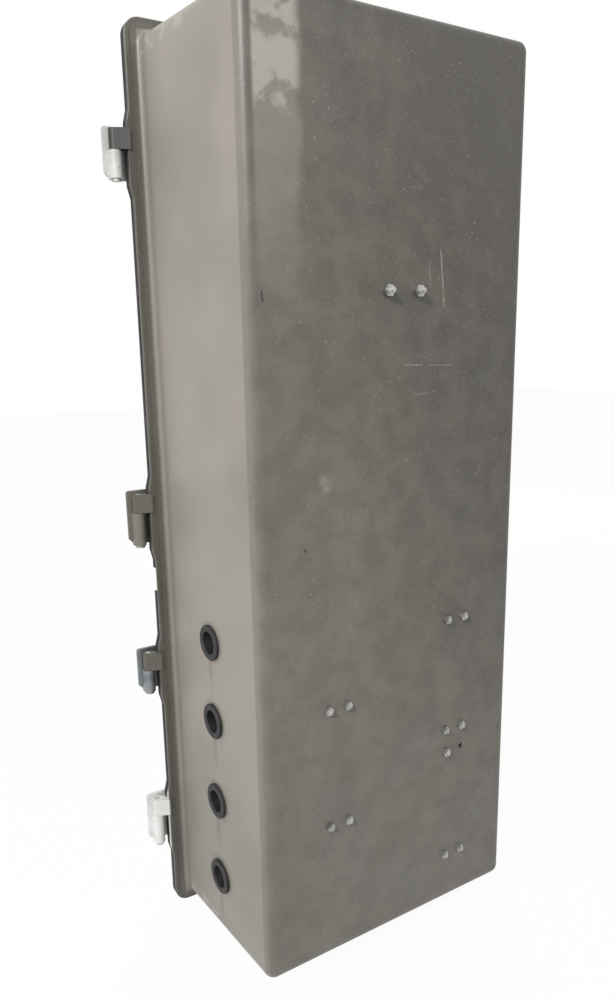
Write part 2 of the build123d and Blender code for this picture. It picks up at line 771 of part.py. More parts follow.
with BuildPart() as breaker_screws:
    for name, (x, height) in breakers.items():
        seat = facing_front(middle_x + x, inside_back_y, height)
        held_places = [offset for offset, held in screw_places(name) if held]
        with BuildSketch(seat.offset(breaker_foot)):
            with Locations(held_places):
                Circle(fixing_head_radius)
        extrude(amount=fixing_head_height)
        with BuildSketch(seat.offset(breaker_foot)):
            with Locations(held_places):
                Circle(fixing_shank_radius)
        extrude(amount=-(breaker_foot + wall_thickness + fixing_nut_height))
        with BuildSketch(seat.offset(-wall_thickness - fixing_nut_height)):
            with Locations(held_places):
                Circle(fixing_radius)
        extrude(amount=-fixing_reach)
    tips = breaker_screws.faces().filter_by(Plane.XZ).group_by(Axis.Y)[-1].edges()
    chamfer(tips, length=tip_chamfer)
breaker_screws.part.label = "breaker_screws"
export_step(breaker_screws.part, "parts/breaker_screws.step")

with BuildPart() as breaker_nuts:
    for name, (x, height) in breakers.items():
        with BuildSketch(facing_front(middle_x + x, back_y, height)):
            with Locations([offset for offset, held in screw_places(name) if held]):
                RegularPolygon(fixing_nut_width / 2, 6, major_radius=False)
                Circle(fixing_shank_radius + thread_clearance, mode=Mode.SUBTRACT)
        extrude(amount=-fixing_nut_height)
breaker_nuts.part.label = "breaker_nuts"
export_step(breaker_nuts.part, "parts/breaker_nuts.step")

with BuildPart() as terminal_screws:
    for x, height in breakers.values():
        floor = facing_front(middle_x + x, inside_back_y, height).offset(
            breaker_depth - terminal_depth
        )
        with BuildSketch(floor):
            with Locations(terminal_places):
                Circle(terminal_screw_radius)
        extrude(amount=terminal_screw_height)
        with BuildSketch(floor):
            with Locations(terminal_places):
                Circle(terminal_shank_radius)
        extrude(amount=-terminal_shank_length)
terminal_screws.part.label = "terminal_screws"
export_step(terminal_screws.part, "parts/terminal_screws.step")

# Doors, each with a raised panel, ribs inside, hinge leaves and locks
doors = {
    "upper": (upper_door_span, upper_hinges, upper_lock_heights),
    "lower": (lower_door_span, lower_hinges, lower_lock_heights),
}
lock_number = 0
leaf_inner_x = middle_x + door_width / 2 - leaf_foot
leaf_outer_x = hinge_x + leaf_nose
leaf_screw_x = leaf_inner_x + leaf_foot / 2
for side, ((low, high), hinges, lock_heights) in doors.items():
    door_height = high - low
    door_middle = (low + high) / 2
    panel_width = door_width - 2 * door_rim
    panel_height = door_height - 2 * door_rim
    leaf_screw_heights = [meeting - knuckle / 2 for meeting, knuckle in hinges.values()]
    leaf_screw_heights += [meeting + ear_height / 2 for meeting, knuckle in hinges.values()]
    with BuildPart() as door:
        with BuildSketch(facing_front(middle_x, door_back_y, door_middle)):
            RectangleRounded(door_width, door_height, door_corner_radius)
        extrude(amount=door_thickness)
        with BuildSketch(facing_front(middle_x, door_front_y, door_middle)):
            RectangleRounded(panel_width, panel_height, door_panel_radius)
        extrude(amount=door_rise, taper=door_rise_draft)
        fillet(door.faces().sort_by(Axis.Y)[0].edges(), radius=door_edge_radius)
        with BuildSketch(facing_front(middle_x, door_back_y, door_middle)):
            RectangleRounded(
                panel_width - 2 * door_thickness,
                panel_height - 2 * door_thickness,
                door_panel_radius - door_thickness,
            )
        extrude(amount=door_rise, taper=door_rise_draft, mode=Mode.SUBTRACT)
        rib_count = int(panel_height // door_rib_spacing)
        rib_length = 2 * (lock_offset - lock_nut_width)
        with BuildSketch(facing_front(middle_x, panel_front_y + door_thickness, door_middle)):
            with GridLocations(0, door_rib_spacing, 1, rib_count):
                Rectangle(rib_length, door_rib_thickness)
        extrude(amount=-door_rib_depth)
        with BuildSketch(facing_front(middle_x - lock_offset, panel_front_y)):
            with Locations([(0, height) for height in lock_heights]):
                Circle(lock_barrel_radius + lock_hole_clearance)
        extrude(amount=-2 * door_thickness, mode=Mode.SUBTRACT)
        with BuildSketch(facing_front(leaf_screw_x, door_front_y)):
            with Locations([(0, height) for height in leaf_screw_heights]):
                Circle(leaf_screw_radius + thread_clearance)
        extrude(amount=-leaf_screw_bite, mode=Mode.SUBTRACT)
    door.part.label = f"{side}_door"
    export_step(door.part, f"parts/{side}_door.step")

    for end, (meeting, knuckle) in hinges.items():
        leaf_low = meeting - knuckle
        leaf_high = meeting + ear_height + leaf_overreach
        with BuildPart() as leaf:
            with BuildSketch(facing_front(0, door_front_y)):
                with Locations(((leaf_inner_x + leaf_outer_x) / 2, (leaf_low + leaf_high) / 2)):
                    Rectangle(leaf_outer_x - leaf_inner_x, leaf_high - leaf_low)
                with Locations([(leaf_screw_x, meeting - knuckle / 2)]):
                    Circle(leaf_screw_radius + hole_clearance, mode=Mode.SUBTRACT)
                with Locations([(leaf_screw_x, meeting + ear_height / 2)]):
                    Circle(leaf_screw_radius + hole_clearance, mode=Mode.SUBTRACT)
            extrude(amount=leaf_thickness)
            outer = leaf.edges().filter_by(Axis.Y).group_by(Axis.X)[-1].sort_by(Axis.Z)
            chamfer(outer[0], length=leaf_bevel)
            fillet(outer[-1], radius=leaf_thickness)
            with BuildSketch(level(leaf_low)):
                with Locations((hinge_x, hinge_y)):
                    Circle(hinge_y - door_front_y)
                with Locations((hinge_x, (hinge_y + door_front_y) / 2)):
                    Rectangle(2 * (hinge_y - door_front_y), hinge_y - door_front_y)
            extrude(amount=knuckle - seating_gap)
            with BuildSketch(level(leaf_low)):
                with Locations((hinge_x, hinge_y)):
                    Circle(pin_radius + pin_clearance)
            extrude(amount=knuckle, mode=Mode.SUBTRACT)
        leaf.part.label = f"{side}_hinge_leaf_{end}"
        export_step(leaf.part, f"parts/{side}_hinge_leaf_{end}.step")

    with BuildPart() as leaf_screws:
        with BuildSketch(facing_front(leaf_screw_x, leaf_front_y)):
            with Locations([(0, height) for height in leaf_screw_heights]):
                Circle(leaf_screw_head_radius)
        extrude(amount=leaf_screw_head_height)
        with BuildSketch(facing_front(leaf_screw_x, leaf_front_y)):
            with Locations([(0, height) for height in leaf_screw_heights]):
                Circle(leaf_screw_radius)
        extrude(amount=-(leaf_thickness + leaf_screw_bite))
    leaf_screws.part.label = f"{side}_leaf_screws"
    export_step(leaf_screws.part, f"parts/{side}_leaf_screws.step")

    for height in lock_heights:
        lock_number += 1
        lock_x = middle_x - lock_offset
        face = facing_front(lock_x, panel_front_y, height)
        with BuildPart() as lock_body:
            with BuildSketch(face):
                Circle(lock_rose_radius)
            extrude(amount=lock_rose_height)
            fillet(lock_body.edges().sort_by(Axis.Y)[0], radius=lock_rose_edge_radius)
            with BuildSketch(face):
                Circle(lock_barrel_radius)
            extrude(amount=-lock_barrel_length)
            with BuildSketch(face.offset(lock_rose_height)):
                Circle(core_radius + core_clearance)
            extrude(amount=-(lock_rose_height + lock_barrel_length), mode=Mode.SUBTRACT)
        lock_body.part.label = f"lock_body_{lock_number}"
        export_step(lock_body.part, f"parts/lock_body_{lock_number}.step")

        with BuildPart() as lock_nut:
            with BuildSketch(face.offset(-door_thickness)):
                RegularPolygon(lock_nut_width / 2, 6, major_radius=False)
                Circle(lock_barrel_radius + thread_clearance, mode=Mode.SUBTRACT)
            extrude(amount=-lock_nut_height)
        lock_nut.part.label = f"lock_nut_{lock_number}"
        export_step(lock_nut.part, f"parts/lock_nut_{lock_number}.step")

        cam_face = facing_front(lock_x, front_y + cam_depth, height)
        collar_face = face.offset(-lock_barrel_length - seating_gap)
        with BuildPart() as lock_core:
            with BuildSketch(face.offset(lock_rose_height - seating_gap)):
                Circle(core_radius)
            extrude(amount=-(lock_rose_height + lock_barrel_length))
            with BuildSketch(face.offset(lock_rose_height - seating_gap)):
                RegularPolygon(key_side / 2, 3)
            extrude(amount=-key_depth, mode=Mode.SUBTRACT)
            with BuildSketch(collar_face):
                Circle(core_collar_radius)
            extrude(amount=-core_collar_height)
            with BuildSketch(cam_face):
                Circle(spindle_radius)
            extrude(until=Until.NEXT)
            with BuildSketch(cam_face):
                Rectangle(core_square, core_square)
            extrude(amount=-cam_thickness)
            with BuildSketch(cam_face.offset(-cam_thickness)):
                Circle(core_head_radius)
            extrude(amount=-core_head_height)
        lock_core.part.label = f"lock_core_{lock_number}"
        export_step(lock_core.part, f"parts/lock_core_{lock_number}.step")

        with BuildPart() as lock_cam:
            with BuildSketch(cam_face):
                Circle(cam_width / 2)
                with Locations((0, -(cam_reach - cam_width / 2))):
                    Circle(cam_width / 2)
                make_hull()
                Rectangle(
                    core_square + 2 * thread_clearance,
                    core_square + 2 * thread_clearance,
                    mode=Mode.SUBTRACT,
                )
            extrude(amount=-cam_thickness)
        lock_cam.part.label = f"lock_cam_{lock_number}"
        export_step(lock_cam.part, f"parts/lock_cam_{lock_number}.step")
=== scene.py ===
"""Looks of a moulded distribution box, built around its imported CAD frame.

Metres, X to the right seen from the front, Y to the rear, Z up. The origin is midway between the
two hanging studs. The camera looks at the back, from the hinge side and from a little above.
"""

import logging
import math
from collections.abc import Callable, Sequence
from dataclasses import dataclass
from enum import Enum
from functools import reduce
from itertools import product
from typing import Any, Union

import bmesh
import bpy
from mathutils import Matrix, Vector


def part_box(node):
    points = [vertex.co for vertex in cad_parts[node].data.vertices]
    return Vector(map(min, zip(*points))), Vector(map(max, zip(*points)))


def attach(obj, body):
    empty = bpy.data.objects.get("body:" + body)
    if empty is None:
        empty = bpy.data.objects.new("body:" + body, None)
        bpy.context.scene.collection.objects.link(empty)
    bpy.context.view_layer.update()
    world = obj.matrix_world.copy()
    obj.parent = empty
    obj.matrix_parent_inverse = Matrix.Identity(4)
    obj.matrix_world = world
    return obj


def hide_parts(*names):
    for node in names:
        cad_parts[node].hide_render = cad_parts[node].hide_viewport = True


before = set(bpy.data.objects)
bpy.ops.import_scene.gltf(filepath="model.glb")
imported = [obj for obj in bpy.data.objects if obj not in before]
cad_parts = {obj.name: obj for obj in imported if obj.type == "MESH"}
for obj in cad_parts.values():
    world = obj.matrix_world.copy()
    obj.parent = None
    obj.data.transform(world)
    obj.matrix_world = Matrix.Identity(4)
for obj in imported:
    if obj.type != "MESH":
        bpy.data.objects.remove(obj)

logging.basicConfig(level=logging.INFO, format="%(message)s")
log = logging.getLogger("distribution_box")

MM = 0.001
MIDDLE_X = 3.5  # box's middle, in millimetres
MIDDLE_Z = -217.5
LOWER_EDGE = -667.5  # back panel's lower edge
HOLE_Y = -100.0  # cable holes
HOLE_HEIGHTS = (63.5, 153.5, 244.5, 330.0)  # above the lower edge
HINGE_AXIS = (197.5, -201.0)
FORWARD = (0, -1, 0)
CORNERS = tuple(product((-1, 1), repeat=2))  # signs of a rectangle's corners
Number = Union[float, "Field"]
Colour = tuple[float, float, float]
Point = tuple[float, float, float]
Pair = tuple[float, float]
Span = tuple[float, ...]  # where a soft step starts and ends, and the share it comes to
THREAD_DEPTH = 0.62  # of the ridge, in pitches
FLANK_START, FLANK_END = 0.04, 0.42
THREAD_STEPS = 18  # in one turn
SMOOTH_ANGLE = 35.0  # sharper edges stay sharp, in degrees


def tone(red: int, green: int, blue: int) -> Colour:
    """Turns a paint chip's screen colour into the linear colour that the shader reads.

    Args:
        red: Red, 0 to 255.
        green: Green, 0 to 255.
        blue: Blue, 0 to 255.

    Returns:
        The linear colour.
    """

    def linear(value: int) -> float:
        """One channel made linear."""
        share = value / 255
        return share / 12.92 if share <= 0.04045 else ((share + 0.055) / 1.055) ** 2.4

    return linear(red), linear(green), linear(blue)


def shifted(point: Sequence[float], shift: Sequence[float]) -> Point:
    """A point in metres, moved by a shift in millimetres."""
    return tuple(start + step * MM for start, step in zip(point, shift))


class Field:
    """A number that varies over a surface: the output of a shader node, with plain arithmetic."""

    def __init__(self, finish: "Shader", socket: bpy.types.NodeSocket) -> None:
        """Keeps the shader that the socket belongs to, and the socket."""
        self.finish = finish
        self.socket = socket

    def _math(self, operation: str, first: Number, second: Number = 0.0) -> "Field":
        """Adds one Math node.

        Args:
            operation: The Math node's operation.
            first: First value or link.
            second: Second value or link.

        Returns:
            The node's output.
        """
        return self.finish.node(
            "ShaderNodeMath", {"operation": operation}, {0: first, 1: second}
        )

    def __add__(self, other: Number) -> "Field":
        """Sum."""
        return self._math("ADD", self, other)

    def __radd__(self, other: Number) -> "Field":
        """Sum, reflected."""
        return self._math("ADD", other, self)

    def __sub__(self, other: Number) -> "Field":
        """Difference."""
        return self._math("SUBTRACT", self, other)

    def __rsub__(self, other: Number) -> "Field":
        """Difference, reflected."""
        return self._math("SUBTRACT", other, self)

    def __mul__(self, other: Number) -> "Field":
        """Product."""
        return self._math("MULTIPLY", self, other)

    def __abs__(self) -> "Field":
        """Size without its sign."""
        return self._math("ABSOLUTE", self)

    def __pow__(self, other: Number) -> "Field":
        """Power."""
        return self._math("POWER", self, other)

    def larger(self, other: Number) -> "Field":
        """The larger of the two."""
        return self._math("MAXIMUM", self, other)

    def smaller(self, other: Number) -> "Field":
        """The smaller of the two."""
        return self._math("MINIMUM", self, other)

    def rises(self, low: float, high: float) -> "Field":
        """A soft step.

        Args:
            low: Where the step starts, with 0.
            high: Where the step ends, with 1. It may be below low, and the step then falls.

        Returns:
            The step, from 0 to 1.
        """
        return self.finish.node(
            "ShaderNodeMapRange",
            {"interpolation_type": "SMOOTHSTEP"},
            {"Value": self, "From Min": low, "From Max": high},
            output="Result",
        )

    def step(self, start: float, end: float, share: float = 1.0) -> "Field":
        """A soft step up to a share, between two places in millimetres."""
        return self.rises(start * MM, end * MM) * share

    def patches(self, cloud: "Cloud") -> "Field":
        """This noise, sharpened into the cloud's soft patches."""
        return self.rises(*cloud.span) * cloud.share


def strongest(spots: Sequence[Field]) -> Field:
    """The largest of several strengths at each point."""
    return reduce(Field.larger, spots)


@dataclass(frozen=True)
class Cloud:
    """A cloudy noise, from 0 to 1, and the soft patches that it can be sharpened into."""

    scale: float  # how fine it is, per metre
    detail: float  # octaves
    roughness: float  # how strong the fine octaves are
    span: Pair = (0.0, 1.0)  # noise at the edge and at the heart of a patch
    share: float = 1.0  # how strong a patch is
    stretch: Union[Point, None] = None  # scale along each axis


class Shader:
    """One procedural material or world, put together node by node."""

    def __init__(self, name: str, world: bool = False) -> None:
        """Starts an empty material or world.

        Args:
            name: Its name.
            world: Whether it is a world.
        """
        self.made = (bpy.data.worlds if world else bpy.data.materials).new(name)
        self.made.use_nodes = True
        self.tree = self.made.node_tree
        self.tree.nodes.clear()
        self._output = "ShaderNodeOutputWorld" if world else "ShaderNodeOutputMaterial"
        self._place: Union[Field, None] = None
        self._axes: tuple[Field, ...] = ()

    def node(
        self,
        kind: str,
        settings: dict[str, Any],
        inputs: dict[Union[int, str], Any],
        output: Union[int, str] = 0,
    ) -> Field:
        """Adds any node.

        Args:
            kind: The node's type.
            settings: Its properties, set before its sockets.
            inputs: Values or links of its sockets, by number or name.
            output: The output that is handed back.

        Returns:
            The wanted output.
        """
        made = self.tree.nodes.new(kind)
        for key, value in settings.items():
            setattr(made, key, value)
        for key, value in inputs.items():
            socket = made.inputs[key]
            if isinstance(value, Field):
                self.tree.links.new(value.socket, socket)
            elif isinstance(value, tuple) and socket.type == "RGBA" and len(value) == 3:
                socket.default_value = (*value, 1.0)
            else:
                socket.default_value = value
        return Field(self, made.outputs[output])

    def place(self) -> Field:
        """Finds the point's place in the object's own coordinates.

        Returns:
            The place.
        """
        if self._place is None:
            self._place = self.node("ShaderNodeTexCoord", {}, {}, output="Object")
        return self._place

    def axes(self) -> tuple[Field, ...]:
        """Splits the point's place.

        Returns:
            Its X, Y and Z.
        """
        if not self._axes:
            parts = self.node("ShaderNodeSeparateXYZ", {}, {0: self.place()})
            outputs = parts.socket.node.outputs
            self._axes = tuple(Field(self, output) for output in outputs)
        return self._axes

    def noise(self, cloud: Cloud) -> Field:
        """Adds cloudy noise.

        Args:
            cloud: Its settings.

        Returns:
            The noise, from 0 to 1.
        """
        place = self.place()
        if cloud.stretch:
            place = self.node("ShaderNodeMapping", {}, {"Vector": place, "Scale": cloud.stretch})
        settings = {"Scale": cloud.scale, "Detail": cloud.detail, "Roughness": cloud.roughness}
        return self.node("ShaderNodeTexNoise", {}, {"Vector": place, **settings}, output="Fac")

    def patches(self, cloud: Cloud) -> Field:
        """Cloudy noise, sharpened into soft patches."""
        return self.noise(cloud).patches(cloud)

    def blend(self, share: Number, first: Any, second: Any) -> Field:
        """Mixes two colours.

        Args:
            share: How much of the second one.
            first: Colour or link.
            second: Colour or link.

        Returns:
            The mixed colour.
        """
        sockets = {0: share, 6: first, 7: second}
        return self.node("ShaderNodeMix", {"data_type": "RGBA"}, sockets, output=2)

    def bump(self, height: Field, depth: float, strength: float) -> Field:
        """A bumped normal.

        Args:
            height: Height, from 0 to 1.
            depth: What a height of 1 stands for, in metres.
            strength: The Bump node's strength.

        Returns:
            The normal.
        """
        settings = {"Height": height, "Distance": depth, "Strength": strength}
        return self.node("ShaderNodeBump", {}, settings, output="Normal")

    def close(self, **sockets: Any) -> bpy.types.Material:
        """Adds the surface shader and the output.

        Args:
            **sockets: Values or links of the Principled node, with _ for a space.

        Returns:
            The finished material.
        """
        inputs = {key.replace("_", " "): value for key, value in sockets.items()}
        return self.show(self.node("ShaderNodeBsdfPrincipled", {}, inputs))

    def show(self, surface: Field) -> Any:
        """Adds the output.

        Args:
            surface: The surface shader, or the world's background.

        Returns:
            The finished material or world.
        """
        out = self.tree.nodes.new(self._output)
        self.tree.links.new(surface.socket, out.inputs["Surface"])
        return self.made

    def seen(self) -> Field:
        """Tells the rays that see a white background from those that are lit by it.

        Returns:
            1 for the rays that see it, else 0.
        """
        path = self.node("ShaderNodeLightPath", {}, {}).socket.node
        rays = ("Is Camera Ray", "Is Glossy Ray", "Is Transmission Ray")
        return strongest([Field(self, path.outputs[ray]) for ray in rays])


class Bench:
    """Workbench for new pieces: primitives, edit-mode work and modifiers, as by hand."""

    @staticmethod
    def clear() -> None:
        """Leaves edit mode and deselects everything."""
        if bpy.context.object and bpy.context.object.mode != "OBJECT":
            bpy.ops.object.mode_set(mode="OBJECT")
        bpy.ops.object.select_all(action="DESELECT")

    @classmethod
    def take(cls, *pieces: bpy.types.Object) -> None:
        """Selects these pieces alone, the first one active.

        Args:
            *pieces: The pieces.
        """
        cls.clear()
        for piece in pieces:
            piece.select_set(True)
        bpy.context.view_layer.objects.active = pieces[0]

    @classmethod
    def settle(cls, piece: bpy.types.Object, name: str) -> bpy.types.Object:
        """Puts a piece's place into its mesh and names it.

        Args:
            piece: The piece.
            name: Its new name.

        Returns:
            The piece.
        """
        cls.take(piece)
        bpy.ops.object.transform_apply(location=True, rotation=True, scale=True)
        piece.name = piece.data.name = name
        return piece

    @classmethod
    def block(
        cls, name: str, low: Sequence[float], high: Sequence[float], edge: float = 0.0
    ) -> bpy.types.Object:
        """A block between two corners, with its edges bevelled.

        Args:
            name: The piece's name.
            low: Lowest corner, in metres.
            high: Highest corner, in metres.
            edge: Width of the bevel, in metres.

        Returns:
            The piece.
        """
        cls.clear()
        middle = [(a + b) / 2 for a, b in zip(low, high)]
        bpy.ops.mesh.primitive_cube_add(size=1, location=middle)
        piece = bpy.context.object
        piece.scale = [b - a for a, b in zip(low, high)]
        cls.settle(piece, name)
        if edge:
            bpy.ops.object.mode_set(mode="EDIT")
            bpy.ops.mesh.select_all(action="SELECT")
            bpy.ops.mesh.bevel(offset=edge, segments=2, affect="EDGES")
            bpy.ops.object.mode_set(mode="OBJECT")
        return piece

    @classmethod
    def disc(
        cls,
        name: str,
        centre: Sequence[float],
        radius: float,
        height: float,
        axis: Sequence[float] = (0, 1, 0),
        sides: int = 24,
        edge: float = 0.0,
    ) -> bpy.types.Object:
        """A round or many-sided prism, its end edges bevelled.

        Args:
            name: The piece's name.
            centre: Its middle, in metres.
            radius: Outer radius, in metres.
            height: Length along its axis, in metres.
            axis: Direction of its axis.
            sides: Number of sides.
            edge: Width of the bevel round its outer end, in metres.

        Returns:
            The piece.
        """
        cls.clear()
        turn = Vector((0, 0, 1)).rotation_difference(Vector(axis)).to_euler()
        bpy.ops.mesh.primitive_cylinder_add(
            vertices=sides, radius=radius, depth=height, location=centre, rotation=turn
        )
        piece = cls.settle(bpy.context.object, name)
        if edge:
            cls.pick_faces(piece, lambda face: face.normal.dot(Vector(axis)) > 0.9)
            bpy.ops.mesh.bevel(offset=edge, segments=2, affect="EDGES")
            bpy.ops.object.mode_set(mode="OBJECT")
        return piece

    @classmethod
    def pick_faces(
        cls, piece: bpy.types.Object, wanted: Callable[[bmesh.types.BMFace], bool]
    ) -> None:
        """Enters edit mode with just the wanted faces selected.

        Args:
            piece: The piece.
            wanted: Tells of a face whether it is wanted.
        """
        cls.take(piece)
        bpy.ops.object.mode_set(mode="EDIT")
        bpy.ops.mesh.select_mode(type="FACE")
        bpy.ops.mesh.select_all(action="DESELECT")
        mesh = bmesh.from_edit_mesh(piece.data)
        for face in mesh.faces:
            face.select = bool(wanted(face))
        bmesh.update_edit_mesh(piece.data)

    @classmethod
    def cut(cls, piece: bpy.types.Object, tool: bpy.types.Object) -> None:
        """Cuts one piece with another, which is used up.

        Args:
            piece: The piece that is cut.
            tool: The piece that cuts.
        """
        cls.take(piece)
        change = piece.modifiers.new("cut", "BOOLEAN")
        change.operation = "DIFFERENCE"
        change.solver = "EXACT"
        change.object = tool
        bpy.ops.object.modifier_apply(modifier=change.name)
        bpy.data.objects.remove(tool)

    @classmethod
    def join(cls, name: str, pieces: Sequence[bpy.types.Object]) -> bpy.types.Object:
        """Joins pieces into one mesh.

        Args:
            name: Name of the joined piece.
            pieces: The pieces.

        Returns:
            The joined piece.
        """
        cls.take(*pieces)
        if len(pieces) > 1:
            bpy.ops.object.join()
        joined = bpy.context.object
        joined.name = joined.data.name = name
        return joined

    @classmethod
    def smooth(cls, piece: bpy.types.Object) -> None:
        """Shades a piece smooth, but for its sharp edges."""
        cls.take(piece)
        bpy.ops.object.shade_smooth_by_angle(angle=math.radians(SMOOTH_ANGLE))

    @classmethod
    def copied(
        cls, piece: bpy.types.Object, name: str, shift: Sequence[float]
    ) -> bpy.types.Object:
        """Copies a piece with its own mesh, moved in the mesh.

        Args:
            piece: The piece.
            name: The copy's name.
            shift: How far it moves, in metres.

        Returns:
            The copy.
        """
        twin = piece.copy()
        twin.data = piece.data.copy()
        twin.data.transform(Matrix.Translation(Vector(shift)))
        bpy.context.scene.collection.objects.link(twin)
        twin.name = twin.data.name = name
        return twin

    @classmethod
    def thread(
        cls, name: str, start: Sequence[float], radius: float, pitch: float, turns: int
    ) -> bpy.types.Object:
        """A screw thread's ridge, which winds backwards along Y from its start.

        Args:
            name: The piece's name.
            start: Where it starts on the screw's axis, in metres.
            radius: Crest radius, in metres.
            pitch: Pitch, in metres.
            turns: Number of turns.

        Returns:
            The piece.
        """
        cls.clear()
        bpy.ops.mesh.primitive_plane_add(size=1)
        piece = bpy.context.object
        bpy.ops.object.mode_set(mode="EDIT")
        mesh = bmesh.from_edit_mesh(piece.data)
        mesh.verts.ensure_lookup_table()
        ridge = radius - THREAD_DEPTH * pitch
        outs = (ridge, radius, radius, ridge)
        alongs = (FLANK_START, FLANK_END, 1 - FLANK_END, 1 - FLANK_START)
        for number, out, along in zip((0, 1, 3, 2), outs, alongs):
            mesh.verts[number].co = Vector((out, 0, along * pitch))
        bmesh.update_edit_mesh(piece.data)
        bpy.ops.object.mode_set(mode="OBJECT")
        winding = piece.modifiers.new("winding", "SCREW")
        winding.axis = "Z"
        winding.steps = winding.render_steps = THREAD_STEPS
        winding.screw_offset = pitch
        winding.iterations = turns
        winding.use_merge_vertices = True
        bpy.ops.object.modifier_apply(modifier=winding.name)
        cls.pick_faces(piece, lambda face: True)
        bpy.ops.mesh.remove_doubles(threshold=1e-6)
        bpy.ops.mesh.normals_make_consistent(inside=False)
        bpy.ops.object.mode_set(mode="OBJECT")
        piece.rotation_euler = (-math.pi / 2, 0, 0)
        piece.location = start
        return cls.settle(piece, name)


def dress(piece: bpy.types.Object, finish: bpy.types.Material) -> None:
    """Gives a piece or a CAD node one finish, in all its material slots.

    Args:
        piece: The piece.
        finish: The material.
    """
    if not piece.material_slots:
        piece.data.materials.append(finish)
    for place in piece.material_slots:
        place.material = finish


@dataclass(frozen=True)
class Scuff:
    """A straight mark on the back panel, in millimetres, from one end to the other."""

    start: Pair
    end: Pair
    half_width: float
    share: float
    fade: float = 1.6  # where it has faded out, in half widths
    core: float = 0.3  # where it is strongest, in half widths

    def spot(self, x: Field, z: Field) -> Field:
        """Draws the mark.

        Args:
            x: The point's X.
            z: The point's Z.

        Returns:
            How strong the mark is at the point.
        """
        run = Vector(self.end) - Vector(self.start)
        lean, rise = run.x / run.length, run.y / run.length
        middle = [(a + b) / 2 * MM for a, b in zip(self.start, self.end)]
        across = (x - self.start[0] * MM) * rise - (z - self.start[1] * MM) * lean
        along = (x - middle[0]) * lean + (z - middle[1]) * rise
        beyond = (abs(along) - run.length / 2 * MM).larger(0.0)
        away = (across * across + beyond * beyond) ** 0.5
        return away.step(self.half_width * self.fade, self.half_width * self.core, self.share)


class Wear(Enum):
    """What a mark on the paint shows; the chalk tone also colours painted sheen and painted edge
    highlights.
    """

    CHALK = tone(176, 172, 163)
    NICK = tone(38, 34, 31)
    WHITE = tone(224, 226, 222)


